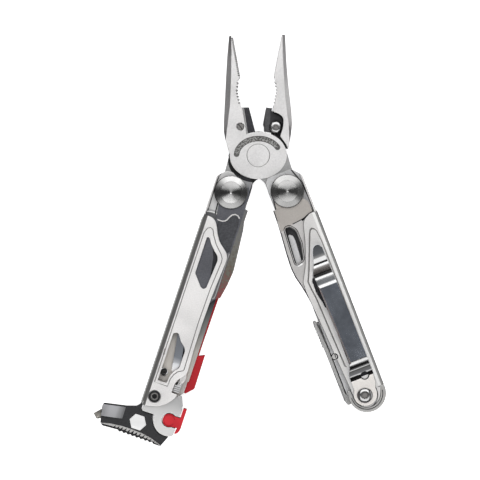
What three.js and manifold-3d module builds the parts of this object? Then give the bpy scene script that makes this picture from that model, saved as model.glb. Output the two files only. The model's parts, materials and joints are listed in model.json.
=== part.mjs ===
// Camping multi tool: needle-nose pliers on two folding sheet-metal handles, with an outside knife and
// saw, a hammer and hex wrench, a hook, a whistle with a fire rod, a sharpener and three inner tools.
// Millimetres. The tool lies on its back: X to the right, Y towards the jaw tips, Z up out of the front.
import * as THREE from 'three';
import { mergeVertices } from 'three/addons/utils/BufferGeometryUtils.js';
import { ConvexGeometry } from 'three/addons/geometries/ConvexGeometry.js';
import Module from 'manifold-3d';

const wasm = await Module();
wasm.setup();

// ---------- driving dimensions ----------
const PIVOT_POSITION = [9.709, 34.264];   // main pivot, from the middle of the whole tool's box
const HANDLE_PIVOT = [11.5, -14.85];      // handle pivots, either side of the main pivot
const HANDLE_ANGLE = THREE.MathUtils.degToRad(19.7);
const GAP = 0.3;                          // running gap between touching pieces

// layers, back to front
const NUT = [0, 0.9];
const BACK = [1.2, 2.4];
const CHANNEL = [2.7, 9.7];
const LOWER_HALF = [2.7, 6.05];
const UPPER_HALF = [6.35, 9.7];
const MID = [10.0, 10.9];
const WASHER = [11.0, 11.4];
const BLADE = [11.5, 13.3];
const FRONT = [13.6, 14.6];
const DOME_TOP = 15.9;

const SHANK = 2.7;                        // handle pivot bolt radius
const DOME = 6.85;
const DISC = [11.7, 9.65];                // half-axes of the front jaw's pivot disc
const PIVOT_CAP = 4.45;
const REAR_DISC = 12.2;
const EYE = 6.7;                          // jaw eye round a handle pivot
const CORNER = 8.85;                      // a handle's top corners pass each other inside this radius
const END_LEFT = [-3.4, -88.8];           // end screw of the left handle, in that handle's frame
const END_RIGHT = [-0.45, -89];           // end screw and inner-tool pivot of the right handle
const HOOK = [5.3, -96.2];
const HEX_HOLE = [-6.6, -101.25];
const HEX_FLATS = 6.4;                    // quarter-inch hex with clearance

// ---------- shape helpers ----------
const solid = (geometry) => {
  geometry.deleteAttribute('normal');
  geometry.deleteAttribute('uv');
  const merged = mergeVertices(geometry, 1e-4);
  const body = new wasm.Manifold(new wasm.Mesh({
    numProp: 3,
    vertProperties: new Float32Array(merged.attributes.position.array),
    triVerts: new Uint32Array(merged.index.array),
  }));
  if (body.volume() <= 0) throw new Error('a shape came out inside out');
  return body;
};

// Points are [x, y] or [x, y, fillet radius].
const outline = (points) => {
  const result = [];
  points.forEach(([x, y, fillet], i) => {
    if (!fillet) {
      result.push(new THREE.Vector2(x, y));
      return;
    }
    const corner = new THREE.Vector2(x, y);
    const before = new THREE.Vector2(...points.at(i - 1).slice(0, 2)).sub(corner);
    const after = new THREE.Vector2(...points[(i + 1) % points.length].slice(0, 2)).sub(corner);
    const reach = Math.min(fillet, before.length() * 0.48, after.length() * 0.48);
    const start = corner.clone().addScaledVector(before.normalize(), reach);
    const end = corner.clone().addScaledVector(after.normalize(), reach);
    new THREE.QuadraticBezierCurve(start, corner, end).getPoints(4).forEach((p) => result.push(p));
  });
  return result.filter((point, i) => {
    const into = point.clone().sub(result.at(i - 1));
    const out = result[(i + 1) % result.length].clone().sub(point);
    return Math.abs(into.cross(out)) > 1e-5;
  });
};

const arc = (x, y, radius, from, to, steps) => Array.from({ length: steps + 1 }, (_, i) => {
  const angle = THREE.MathUtils.degToRad(from + (to - from) * i / steps);
  return [x + radius * Math.cos(angle), y + radius * Math.sin(angle)];
});

const circle = (x, y, radius, steps = 18) => arc(x, y, radius, 0, 360, steps).slice(0, steps);

const prism = (points, [low, high], holes = []) => {
  const shape = new THREE.Shape(outline(points));
  const geometry = new THREE.ExtrudeGeometry(shape, { depth: high - low, bevelEnabled: false });
  const cutters = holes.map((hole) => prism(hole, [low - 1, high + 1]));
  return cutters.reduce((rest, cutter) => rest.subtract(cutter), solid(geometry.translate(0, 0, low)));
};

const disc = (x, y, radius, layer, steps) => prism(circle(x, y, radius, steps), layer);

// The profile lists [radius, height] from the bottom of the axis to its top.
const turned = (x, y, profile, steps = 24) => {
  const geometry = new THREE.LatheGeometry(profile.map(([r, z]) => new THREE.Vector2(r, z)), steps);
  return solid(geometry.rotateX(Math.PI / 2).translate(x, y, 0));
};

const hull = (points) => solid(new ConvexGeometry(points.map((p) => new THREE.Vector3(...p))));

const union = (...bodies) => bodies.reduce((sum, body) => sum.add(body));

const cut = (body, ...tools) => tools.reduce((rest, tool) => rest.subtract(tool), body);

const between = (a, b, t) => [a[0] + (b[0] - a[0]) * t, a[1] + (b[1] - a[1]) * t];

// A row of teeth from a to b that stand to the left of the way from a to b.
const teeth = (a, b, count, depth) => {
  const length = Math.hypot(b[0] - a[0], b[1] - a[1]);
  const side = [-(b[1] - a[1]) / length * depth, (b[0] - a[0]) / length * depth];
  return Array.from({ length: count }, (_, i) => {
    const root = between(a, b, i / count);
    const crest = between(a, b, (i + 0.5) / count);
    return [root, [crest[0] + side[0], crest[1] + side[1]]];
  }).flat();
};

const hexagon = (x, y, acrossFlats, turn = 0) => arc(x, y, acrossFlats / Math.sqrt(3), turn, turn + 360, 6)
  .slice(0, 6);

// ---------- colours ----------
const STEEL = [0xc9c8c6, 0.35, 0.9];
const POLISHED = [0xe0e0e0, 0.15, 1.0];
const FROSTED = [0xb4b4b3, 0.6, 0.7];
const DARK_STEEL = [0x4a4b50, 0.45, 0.8];
const BLACK = [0x1d1d1f, 0.5, 0.6];
const WARM_STEEL = [0xb8b3ad, 0.4, 0.9];
const CLIP_STEEL = [0x7c838c, 0.2, 1.0];
const RED = [0xc01a24, 0.5, 0.0];
const CARBIDE = [0x9a958a, 0.5, 0.6];
const BRONZE = [0xa27a46, 0.4, 0.8];

const tool = new THREE.Group();
const head = new THREE.Group();
const leftHandle = new THREE.Group();
const rightHandle = new THREE.Group();
head.position.set(...PIVOT_POSITION, 0);
leftHandle.position.set(-HANDLE_PIVOT[0], HANDLE_PIVOT[1], 0);
leftHandle.rotation.z = -HANDLE_ANGLE;
rightHandle.position.set(HANDLE_PIVOT[0], HANDLE_PIVOT[1], 0);
rightHandle.rotation.z = HANDLE_ANGLE;
head.add(leftHandle, rightHandle);
tool.add(head);

const piece = (group, name, body, [color, roughness, metalness]) => {
  const { vertProperties, triVerts } = body.getMesh();
  const geometry = new THREE.BufferGeometry();
  geometry.setAttribute('position', new THREE.BufferAttribute(vertProperties, 3));
  geometry.setIndex(new THREE.BufferAttribute(triVerts, 1));
  geometry.computeVertexNormals();
  const material = new THREE.MeshStandardMaterial({ color, roughness, metalness });
  const mesh = new THREE.Mesh(geometry, material);
  mesh.name = name;
  group.add(mesh);
};

// ---------- plier head ----------
const bolt = (radius, layer) => disc(0, 0, radius, layer, 36);

// A long chamfer along an outer edge, on the front and the back. Rows are [x, y, width]; inward is +1 or -1.
const edgeChamfer = (rows, inward, depth) => {
  const section = ([x, y, width], z, up) => [
    [x - inward * 0.6, y, z - up * depth - up * depth * 0.6 / width],
    [x + inward * width, y, z + up * 0.02],
    [x - inward * 0.6, y, z + up * 0.6],
    [x + inward * width, y, z + up * 0.6],
  ];
  const faces = [[CHANNEL[1], 1], [CHANNEL[0], -1]];
  return faces.flatMap(([z, up]) => rows.slice(1).map((row, i) => hull([
    ...section(rows[i], z, up),
    ...section(row, z, up),
  ])));
};

const LEFT_OUTER = [
  [-10.8, 49.6, 0.9], [-11.7, 41, 1.7], [-12.4, 32.5, 2.1], [-13.2, 21.2, 2.2], [-13.75, 14, 1.7],
  [-13.85, 10.4, 1.2], [-13.4, 7, 0.25],
];
const RIGHT_OUTER = [
  [12.15, 49.6, 1.1], [12.4, 38, 1.3], [12.85, 30.4, 1.5], [13.5, 23.3, 1.9], [14.0, 17.5, 1.8],
  [14.15, 12.5, 1.4], [13.6, 8.5, 0.8], [13.1, 5.6, 0.2],
];

const leftBlade = [
  [-10.8, 49.2, 0.3], [-9.1, 49.2, 0.3],
  ...teeth([-9.35, 48.4], [-6.9, 32.6], 17, 0.35),
  [-6.55, 32.2], [-7.3, 31.3],
  ...teeth([-7.9, 30.6], [-8.5, 26.2], 3, 0.75), ...teeth([-8.5, 26.2], [-7.4, 21], 4, 0.75),
  [-6.6, 20.3], [-6.25, 19.9], [-4.65, 9.6], [-4.6, 0], [-11.3, -1.2],
  [-11.5, 0.2], [-12.3, 2.8], [-13.4, 7], [-13.85, 10.4], [-13.75, 14], [-13.2, 21.2], [-12.4, 32.5],
  [-11.7, 41],
];
const rightBlade = [
  [12.15, 49.2, 0.3], [10.8, 49.2, 0.3],
  ...teeth([7.45, 32.8], [10.9, 48.6], 17, 0.35).reverse(),
  [7.1, 32.4], [7.55, 31.2],
  ...teeth([8.6, 26.3], [7.9, 30.6], 3, 0.75).reverse(), ...teeth([7.4, 21], [8.6, 26.3], 4, 0.75).reverse(),
  [6.6, 20.3], [6.45, 19.4], [5.2, 12], [6, 2], [11.7, 2.6], [12.45, 2.5], [13.1, 5.6], [13.6, 8.5],
  [14.15, 12.5], [14.0, 17.5], [13.5, 23.3], [12.85, 30.4], [12.4, 38],
];
const cutterPocket = [
  [3.3, 20], [6.55, 19.6], [6.2, 18.5, 0.6], [6.7, 17.6, 0.8], [8.75, 16.85, 1], [10.3, 15.5, 1.2],
  [10.75, 13.75, 1.2], [10.35, 10.9, 1], [9.5, 8.6], [8.9, 6.2], [1.5, 9],
];
const ellipse = Array.from({ length: 48 }, (_, i) => {
  const angle = i / 48 * 2 * Math.PI;
  return [DISC[0] * Math.cos(angle), DISC[1] * Math.sin(angle)];
});

// The rear jaw's disc shows past the front one at the lower left only.
const rearDisc = [
  ...arc(0, 0, REAR_DISC, 178, 256, 10), [-1.2, -10, 0.6], [0.6, -9.3],
  ...arc(0, 0, DISC[1] - 0.2, 285, 350, 8), ...arc(0, 0, DISC[1] + 0.3, 10, 120, 10), [-10.6, 5.8],
];

// The arm from the pivot disc to the eye on a handle pivot; side is -1 for the left eye, +1 for the right.
const arm = (side) => [
  [side * 11.9, 0.5], [side * 12.9, -3.2], [side * 14.4, -8.2], [side * 17.6, -12],
  ...arc(side * HANDLE_PIVOT[0], HANDLE_PIVOT[1], EYE, side > 0 ? 15 : 165, side > 0 ? -150 : 330, 12),
  [side * 3.4, -13.7, 0.6], [side * 2.4, -11.3, 0.6], [side * 1.2, -10.1, 0.6], [0, -9.3], [side * -1, -6],
  [side * 4, 0],
];

const screwHole = (x, y, radius, layer) => disc(x, y, radius, layer, 16);
const LEFT_SCREW = [-7.06, 11.96];
const RIGHT_SCREW = [7.5, 11.5];
const through = [CHANNEL[0] - 1, CHANNEL[1] + 1];

const leftJaw = cut(
  union(
    cut(prism(leftBlade, CHANNEL), bolt(REAR_DISC + GAP, [0, UPPER_HALF[0]])),
    prism(ellipse, UPPER_HALF),
    prism(arm(1), UPPER_HALF),
    cut(prism(arm(1), CHANNEL), bolt(REAR_DISC + GAP, [0, UPPER_HALF[0]])),
  ),
  ...edgeChamfer(LEFT_OUTER, 1, 1.5),
  bolt(PIVOT_CAP - 0.9, through),
  bolt(PIVOT_CAP + GAP, [8.3, through[1]]),
  screwHole(HANDLE_PIVOT[0], HANDLE_PIVOT[1], SHANK + GAP, through),
  screwHole(...LEFT_SCREW, 1.65, [8.2, through[1]]),
  screwHole(...LEFT_SCREW, 1.1, through),
);
piece(head, 'left_jaw', leftJaw, STEEL);

const rightJaw = cut(
  union(
    prism(rightBlade, LOWER_HALF),
    prism(rearDisc, LOWER_HALF),
    prism(arm(-1), LOWER_HALF),
    cut(
      union(prism(rightBlade, CHANNEL), prism(arm(-1), CHANNEL)),
      bolt(DISC[0] + GAP, [UPPER_HALF[0] - GAP, through[1]]),
      prism(cutterPocket, [UPPER_HALF[0] - GAP, through[1]]),
    ),
  ),
  ...edgeChamfer(RIGHT_OUTER, -1, 1.5),
  prism(cutterPocket, [4, through[1]]),
  bolt(PIVOT_CAP - 0.9, through),
  bolt(PIVOT_CAP + GAP, [0, 4.1]),
  screwHole(-HANDLE_PIVOT[0], HANDLE_PIVOT[1], SHANK + GAP, through),
  screwHole(...RIGHT_SCREW, 1.1, [0, 5]),
);
piece(head, 'right_jaw', rightJaw, STEEL);

const leftCutter = [[-5.85, 19.75], [-3.3, 19.75], [-1.15, 10.1], [-4.3, 9.75]];
piece(head, 'left_cutter', prism(leftCutter, UPPER_HALF), BLACK);

const rightCutter = [
  [3.6, 19.7], [6.2, 19.3], [5.9, 18.4, 0.5], [6.5, 17.35, 0.8], [8.6, 16.5, 1], [10, 15.3, 1.2],
  [10.4, 13.7, 1.2], [10.05, 11, 1], [9.1, 8.6], [2.6, 9.8], [2.6, 11.4], [2.2, 12.7],
];
piece(head, 'right_cutter', cut(
  prism(rightCutter, [4.3, LOWER_HALF[1]]),
  screwHole(...RIGHT_SCREW, 1.1, through),
), BLACK);

piece(head, 'left_cutter_screw', turned(...LEFT_SCREW, [
  [0, 3.2], [0.8, 3.2], [0.8, 8.5], [1.35, 8.5], [1.35, 9.5], [0.7, 9.5], [0.7, 9.1], [0, 9.1],
], 16), FROSTED);
piece(head, 'right_cutter_screw', turned(...RIGHT_SCREW, [
  [0, 2.9], [0.8, 2.9], [0.8, 6.35], [2.35, 6.35], [2.35, 7.0], [1.9, 7.8], [1.1, 8.3], [0, 8.45],
], 20), POLISHED);

piece(head, 'pivot_pin', turned(0, 0, [
  [0, 4.6], [PIVOT_CAP - 1.2, 4.6], [PIVOT_CAP - 1.2, 8.6], [PIVOT_CAP, 8.6], [PIVOT_CAP, 9.6],
  [PIVOT_CAP - 0.2, 9.72], [0, 9.72],
], 28), STEEL);
piece(head, 'pivot_nut', turned(0, 0, [
  [0, 2.75], [PIVOT_CAP - 0.2, 2.75], [PIVOT_CAP, 2.95], [PIVOT_CAP, 3.8], [PIVOT_CAP - 1.2, 3.8],
  [PIVOT_CAP - 1.2, 4.3], [0, 4.3],
], 24), STEEL);

// ---------- parts both handles share ----------
const pivotBolt = () => turned(0, 0, [
  [0, 2], [SHANK, 2], [SHANK, FRONT[0] - 0.1], [DOME, FRONT[0] - 0.1], [DOME, 14.1], [DOME - 0.35, 14.6],
  [5.4, 15.15], [3.6, 15.6], [1.8, 15.83], [0, DOME_TOP],
], 28);
const pivotNut = (x, y, radius, shank) => turned(x, y, [
  [0, NUT[0]], [radius - 0.2, NUT[0]], [radius, 0.2], [radius, NUT[1]], [shank, NUT[1]], [shank, 1.7], [0, 1.7],
], 20);
const washer = (x, y, radius, bore, layer) => prism(circle(x, y, radius), layer, [circle(x, y, bore, 20)]);
const box = ([x0, x1], [y0, y1], layer) => prism([[x0, y0], [x1, y0], [x1, y1], [x0, y1]], layer);

// A handle's channel: back wall, mid wall and the web that joins them on the inner side.
const channel = (plate, web, holes) => cut(
  union(prism(plate, BACK), prism(plate, MID), box(...web, [BACK[1] - 0.5, MID[0] + 0.5])),
  ...holes.map(([x, y, radius]) => disc(x, y, radius, [0, 12], 20)),
);

// ---------- left handle ----------
const LEFT_EDGE = -7.7;
const leftPlate = [
  ...arc(0, 0, CORNER, 146.7, 117, 5), [6.3, 7.7, 1.2], [7.5, 5.6, 0.8], [7.7, 1], [7.7, -5], [7.5, -8],
  [7.5, -84.2],
  [2.9, -89], [-1.5, -92], [-6.5, -93.2, 0.5], [-7.4, -92],
];
const SAW_STOP = [-3, -78.2];
const SAW_LOCK_PIVOT = [4.9, -61.5];
const leftChannel = cut(
  channel(leftPlate, [[6.3, 7.5], [-84.2, -8]], [
    [0, 0, SHANK + GAP], [...END_LEFT, 1.9], [...SAW_STOP, 1.6], [...SAW_LOCK_PIVOT, 0.9],
  ]),
  box([5, 9], [-84.6, -35.2], [2.95, 9.65]),
);
piece(leftHandle, 'left_channel', leftChannel, STEEL);

const leftFrontPlate = [
  [LEFT_EDGE, 4.3], [-7.15, 5.2], [-7.15, -11.9], [-3.8, -12.1, 1.5], [-2.1, -13.3, 1], [-0.9, -15.4, 1],
  [0.4, -18.3, 1], [2.2, -20.9, 1], [6, -24, 1.2], [7, -25.7, 1], [7, -28, 1], [6.4, -36], [6, -43],
  [5.75, -55], [5.85, -66], [6.3, -75.3, 0.6], [5.4, -77.2, 0.8], [3.5, -79.4, 0.8], [2.8, -81.4],
  [2.7, -85.1, 0.3], [5.2, -85.3, 0.3], [4.9, -86.4], [3.7, -88.3], [2, -90.3], [-0.8, -92.2, 1],
  [-6.6, -93.6, 0.3], [LEFT_EDGE, -92.2],
];
const upperWindow = [
  [-3.5, -20.3, 0.4], [-2.5, -20.3, 0.5], [-1.1, -22.4], [1, -24.7], [2.9, -26.3, 0.8], [3.6, -28, 0.8],
  [2.7, -40.2, 0.9], [1.6, -41.1, 0.8], [0.4, -40.5], [-3.5, -35.8, 0.6],
];
const lowerWindow = [
  [-4.2, -61.9, 0.5], [-2.7, -61.1, 0.7], [-1.8, -61.8, 0.4], [-0.3, -64.1, 0.5], [1.9, -65.9, 0.7],
  [2.6, -67.4, 0.6], [2.5, -74.7, 0.6], [1.1, -76.3, 0.5], [0, -78.3, 0.6], [-0.5, -82.1, 0.3],
  [-4.2, -82.1, 0.3],
];
const leftFold = [
  [LEFT_EDGE, 4.3], [-7.15, 5.2], [-7.15, -12], [-6.5, -12.4], [-6.5, -92], [LEFT_EDGE, -92],
];
const leftFrame = union(
  prism(leftFrontPlate, FRONT, [upperWindow, lowerWindow, circle(...END_LEFT, 2.65, 20)]),
  prism(leftFold, [WASHER[0], FRONT[1]]),
);
piece(leftHandle, 'left_front_frame', leftFrame, STEEL);

piece(leftHandle, 'left_pivot_bolt', pivotBolt(), POLISHED);
piece(leftHandle, 'left_pivot_nut', pivotNut(0, 0, 5.4, SHANK), STEEL);
piece(leftHandle, 'left_pivot_washer', washer(0, 0, 5.4, SHANK + GAP, WASHER), BRONZE);

const sawOutline = [
  ...arc(0, 0, 6.6, 45, 240, 14), [-3, -8.2], [-2.4, -11.2], [-2.6, -16],
  ...teeth([-3.1, -20], [-3.5, -36], 10, -0.5), ...teeth([-3.5, -36], [-2.6, -60], 15, -0.5),
  ...teeth([-2.6, -60], [0, -76.5], 20, -0.25), [0.6, -77.3, 0.3], [2.2, -76.3, 0.4], [2.5, -70], [2.7, -66],
  [4.3, -60, 2], [5.4, -46.5, 1.5], [7.4, -43.6, 0.5], [9.4, -42.4, 0.5], [10.5, -36.5], [11.15, -30.4, 1.5],
  [10.4, -21.5], [9.6, -13], [8.9, -9.6], [8.95, -4.9, 0.3], [7.6, -4.7, 0.3], [6.9, -2],
];
piece(leftHandle, 'saw', cut(prism(sawOutline, BLADE), disc(0, 0, SHANK + GAP, through.map((z) => z + 5))),
  DARK_STEEL);

// Liner lock for the saw: a thin arm under the blade with a knurled pad past its tip.
const lockArm = [
  [3.6, -59.6, 0.8], [7.1, -59.5, 0.5], [7.3, -75], [6.7, -78.4, 0.8], [5.7, -81.2], [5.6, -84.5, 0.3],
  [3.1, -84.5, 0.3], [3.1, -81.5], [4.1, -79.6, 0.5], [4.6, -76, 0.5], [4.8, -66], [3.6, -63.4, 0.8],
];
const lockPad = [
  [5.2, -78.6, 0.4], [6.6, -78.4, 0.4], [5.7, -81.2], [5.6, -84.5, 0.3], [3.1, -84.5, 0.3], [3.1, -81.5],
  [4.1, -79.6, 0.5],
];
piece(leftHandle, 'saw_lock', cut(
  union(prism(lockArm, WASHER), prism(lockPad, [WASHER[0], BLADE[1]])),
  disc(...SAW_LOCK_PIVOT, 0.9, [10, 12], 14),
), FROSTED);
piece(leftHandle, 'saw_lock_pin', disc(...SAW_LOCK_PIVOT, 0.6, [MID[0] - 0.3, WASHER[1]], 14), DARK_STEEL);
piece(leftHandle, 'saw_stop_pin', turned(...SAW_STOP, [
  [0, 2.8], [1.3, 2.8], [1.3, 13.0], [1.0, 13.3], [0.55, 13.3], [0.55, 12.6], [0, 12.6],
], 20), DARK_STEEL);

// End hook: a plate under the front frame that runs into a thick C-shaped ring.
const hookPlate = [
  [-6.3, -85.6, 0.5], [2.4, -85.6], [2.6, -86.2], [5.9, -86.2], [6.2, -85.2], [7.1, -85.2, 0.5],
  [8.8, -89], [9.05, -93.4, 0.3],
  [6, -93.3], [4, -93.6], [-1.2, -95.9], [-6.6, -95.9, 0.6],
];
const ringSpan = [4, BLADE[1]];
const hook = cut(
  union(prism(hookPlate, BLADE), disc(...HOOK, 6.6, ringSpan, 36)),
  disc(...HOOK, 2.65 + GAP, through.map((z) => z + 5), 28),
  disc(...HOOK, 2.65 + GAP, [0, 14], 28),
  box([HOOK[0], 14], [-98.6, -93.75], [0, 14]),
  box([8.75, 14], [-104, -93.5], [0, 14]),
  box([9.05, 14], [-94, -85], [0, 14]),
  disc(...END_LEFT, 1.9, [11, 14], 18),
);
piece(leftHandle, 'hook', hook, FROSTED);

const holderOutline = [
  ...arc(...HOOK, 2.65, 55, 305, 16), [9.35, -98.3], [9.1, -99.9, 0.5], [8.95, -100.9, 0.3], [10, -100.4, 0.5],
  [10.85, -98.8, 0.8], [10.85, -89.8, 0.3], [9.35, -89.8, 0.3], [9.35, -94.05],
];
piece(leftHandle, 'sharpener_holder', cut(
  prism(holderOutline, [4.2, 13.1]),
  disc(...HOOK, 1.4, [0, 12.2], 16),
), RED);
piece(leftHandle, 'sharpener_rod', disc(...HOOK, 1.1, [4.2, 11.9], 16), DARK_STEEL);

// Hammer with a hex wrench hole and a bored seat for the carbide point.
const hammerOutline = [
  [-7.7, -92.5], [-8.1, -93.9], [-9.2, -95.1], [-13, -96.35], [-22.4, -98.2, 0.4], [-22.4, -99.6],
  [-21.6, -103.4], [-21, -106.2, 0.6], [-20, -107, 0.5],
  ...teeth([-13.5, -106.6], [3.2, -107], 9, -0.6), [5.1, -107.6, 0.6], [7, -103.1, 0.4],
  ...arc(...HOOK, 6.6 + GAP, 283, 181, 12), [-6.4, -96.25], [-6.95, -95.6], [-6.95, -92.5],
];
const hammerTongue = [[-6.3, -84], [3, -84], [3, -88.4], [-1.9, -92], [-1.9, -97.5], [-6.3, -97.5]];
const hammerBoss = [[-22.3, -98.4, 0.3], [-13.1, -96.6, 0.3], [-13.1, -101.6, 0.3], [-21.7, -103.2, 0.3]];
const HAMMER = [CHANNEL[0], 12.4];
const carbideSeat = new THREE.CylinderGeometry(1.6, 1.6, 6, 20)
  .rotateZ(Math.PI / 2)
  .translate(-21, -102.6, 7.6);
const hammer = cut(
  union(prism(hammerOutline, HAMMER), prism(hammerTongue, CHANNEL), prism(hammerBoss, [HAMMER[0], 13.2])),
  prism(hexagon(...HEX_HOLE, HEX_FLATS), [0, 14]),
  disc(...END_LEFT, 1.9, [0, 14], 18),
  solid(carbideSeat),
);
piece(leftHandle, 'hammer_head', hammer, BLACK);
const CARBIDE_PROFILE = [[0, 0], [1.3, 0], [1.3, 4.3], [1.8, 4.3], [1.8, 4.7], [0.4, 6.1], [0, 6.2]];
const carbide = new THREE.LatheGeometry(CARBIDE_PROFILE.map((p) => new THREE.Vector2(...p)), 20)
  .rotateZ(Math.PI / 2)
  .translate(-18.3, -102.6, 7.6);
piece(leftHandle, 'carbide_tip', solid(carbide), CARBIDE);

piece(leftHandle, 'left_end_screw', turned(...END_LEFT, [
  [0, 2], [1.6, 2], [1.6, 13.5], [2.35, 13.5], [2.35, 14.75], [1.65, 14.75], [1.65, 13.9], [0, 13.9],
], 20), DARK_STEEL);
piece(leftHandle, 'left_end_nut', pivotNut(...END_LEFT, 3.2, 1.6), STEEL);

const whistleOutline = [
  [3.9, -68], [7.9, -68], [8.2, -67.8], [10.9, -66.4, 0.5], [11.1, -81, 0.6], [8, -84.2, 0.6], [7, -83.3, 0.5],
  [3.9, -83.3],
];
const whistleStrip = [[7.75, -36, 0.4], [8.9, -36, 0.4], [8.75, -50], [8.5, -68.2], [7.75, -68.2]];
const rodSpan = new THREE.CylinderGeometry(1.9, 1.9, 6, 20).translate(5.7, -68, 6.3);
const whistle = cut(
  union(prism(whistleOutline, [3.25, 9.35]), prism(whistleStrip, [4, 8.8])),
  solid(rodSpan),
  box([8.4, 12], [-79.5, -77.5], [5.2, 7.6]),
);
piece(leftHandle, 'whistle', whistle, RED);
piece(leftHandle, 'ferro_rod', solid(new THREE.CylinderGeometry(1.6, 1.6, 34, 20).translate(5.7, -53.6, 6.3)),
  DARK_STEEL);

// ---------- right handle ----------
const RIGHT_EDGE = 8.45;
const rightPlate = [
  ...arc(0, 0, CORNER, 24.5, 63, 6), [-6, 7.7, 1.2], [-7.2, 5.6, 0.8], [-7.4, 1], [-7.4, -5], [-7.2, -8],
  [-7.2, -84.5], ...arc(0.3, -88.6, 7.2, 180, 360, 14), [8.1, -84],
];
const LEVER_PIN = [-6.3, -70];
const rightChannel = cut(
  union(
    channel(rightPlate, [[-7.2, -6.1], [-84.5, -8]], [[0, 0, SHANK + GAP], [...END_RIGHT, 2.3]]),
    box([-9, -7], [-89, -54.5], BACK),
  ),
  disc(...LEVER_PIN, 1.3, [0, 12], 20),
  box([-8, -5], [-73, -67], [2.95, 9.65]),
);
piece(rightHandle, 'right_channel', rightChannel, STEEL);

const rightFrontPlate = [
  [RIGHT_EDGE, -11.8], [4.9, -11.9, 0.5], [2.5, -13, 1], [1.2, -14.7, 0.8], [0.4, -17.5], [-0.6, -21.4],
  [-2.2, -26.1], [-3.9, -30.4], [-5.5, -33.6], [-7.5, -37, 0.8], [-7.75, -41], [-7.2, -50], [-6.5, -60],
  [-5.9, -72], [-5.1, -84.7], ...arc(0.5, -88.5, 5.6, 180, 330, 10), [7.2, -87.3], [RIGHT_EDGE, -87.3],
];
const clipWindow = [
  [-3.9, -38.2, 0.3], [-0.5, -32], [4.4, -32, 0.5], [4.6, -50, 0.5], [-2.7, -50, 0.3],
];
const rightFold = [
  [RIGHT_EDGE - 0.4, 3.6], [7.3, 4.95], [7.3, -87.2], [RIGHT_EDGE, -87.2], [RIGHT_EDGE, -11.9],
  [RIGHT_EDGE - 0.4, -11],
];
const rightFrame = union(
  prism(rightFrontPlate, FRONT, [clipWindow, circle(...END_RIGHT, 2.3, 18)]),
  prism(rightFold, [WASHER[0], FRONT[1]]),
);
piece(rightHandle, 'right_front_frame', rightFrame, STEEL);

piece(rightHandle, 'right_pivot_bolt', pivotBolt(), POLISHED);
piece(rightHandle, 'right_pivot_nut', pivotNut(0, 0, 5.4, SHANK), STEEL);
piece(rightHandle, 'right_pivot_washer', washer(0, 0, 5.4, SHANK + GAP, WASHER), BRONZE);

const knifeOutline = [
  ...arc(0, 0, 6.6, 135, -45, 14), [6.4, -7], [6.9, -11.4, 0.4], [5.4, -13.5, 1], [4.9, -25], [4.6, -45],
  [3.9, -58], [2.2, -68], [-1.4, -76, 0.4], [-4.4, -68], [-6, -60], [-6.7, -52], [-7.4, -46], [-7.9, -42.3],
  [-8.65, -38.3], [-9.6, -34.4], [-10, -30, 1.5], [-9.6, -23.4], [-8.85, -15.5], [-8.5, -10],
  [-8.35, -5.4, 0.3], [-7.3, -5.2, 0.3], [-6.9, -2],
];
const thumbHole = [
  [-6, -14, 1], [-4.6, -14, 1], [-2.6, -16.4, 1.2], [-2.8, -22], [-4.1, -28.6, 0.8], [-7.3, -29.3, 0.6],
];
piece(rightHandle, 'knife', cut(
  prism(knifeOutline, BLADE, [thumbHole]),
  disc(0, 0, SHANK + GAP, [11, 14]),
), WARM_STEEL);

// Spring clip: a bent strip with a flat base plate, given as heights along its length.
const CLIP_PROFILE = [
  [-82, 15.35], [-81.3, 15.5], [-80.4, 16.35], [-79.8, 16.6], [-78.2, 16.75], [-77.4, 17.1], [-76.1, 18],
  [-75.3, 18.5], [-74.2, 18.7], [-42.2, 18.3], [-41.4, 18.1], [-40.7, 17.75], [-38.3, 16.35], [-37.7, 16.08],
  [-37.1, 15.98], [-35.9, 15.95], [-33.5, 15.7], [-32.9, 15.54], [-32.3, 15.46], [-31.8, 15.47],
  [-31.1, 15.6], [-30.5, 15.8], [-29.9, 16.12], [-24.8, 18.6],
];
const CLIP_THICKNESS = 0.8;
const clipBand = [
  ...CLIP_PROFILE.map(([v, z]) => [v, z + CLIP_THICKNESS / 2]),
  ...CLIP_PROFILE.map(([v, z]) => [v, z - CLIP_THICKNESS / 2]).reverse(),
];
const clipShape = new THREE.Shape(outline(clipBand));
const clipSide = new THREE.ExtrudeGeometry(clipShape, { depth: 20, bevelEnabled: false })
  .rotateX(Math.PI / 2)
  .rotateZ(Math.PI / 2)
  .translate(-10, 0, 0);
const clipFront = [
  [1.3, -25.6], [2.4, -24.7, 0.8], [3.9, -24.9, 0.8], [4.9, -26.4], [5.2, -36], [5.4, -42], [6, -75],
  [6, -82.5], [-3.8, -82.5], [-3.7, -79.5], [-2.6, -77], [-1.7, -75], [-2.4, -42], [-2.4, -36],
  [-0.6, -31.4], [0.6, -27.2],
];
const clipBase = [
  [-3.8, -81.5], [6, -81.5], [5.6, -85.5], ...arc(...END_RIGHT.map((n) => n + 0.35), 4.9, 10, -190, 16),
  [-3.85, -85.5],
];
const CLIP_BASE = [FRONT[1] + GAP, FRONT[1] + GAP + CLIP_THICKNESS];
const clip = cut(
  union(solid(clipSide).intersect(prism(clipFront, [14, 21])), prism(clipBase, [14.95, 15.75])),
  disc(2.4, -81.4, 1.75, [14, 17], 20),
  disc(...END_RIGHT, 2.3, [14, 17], 20),
);
piece(rightHandle, 'pocket_clip', clip, CLIP_STEEL);

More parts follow.
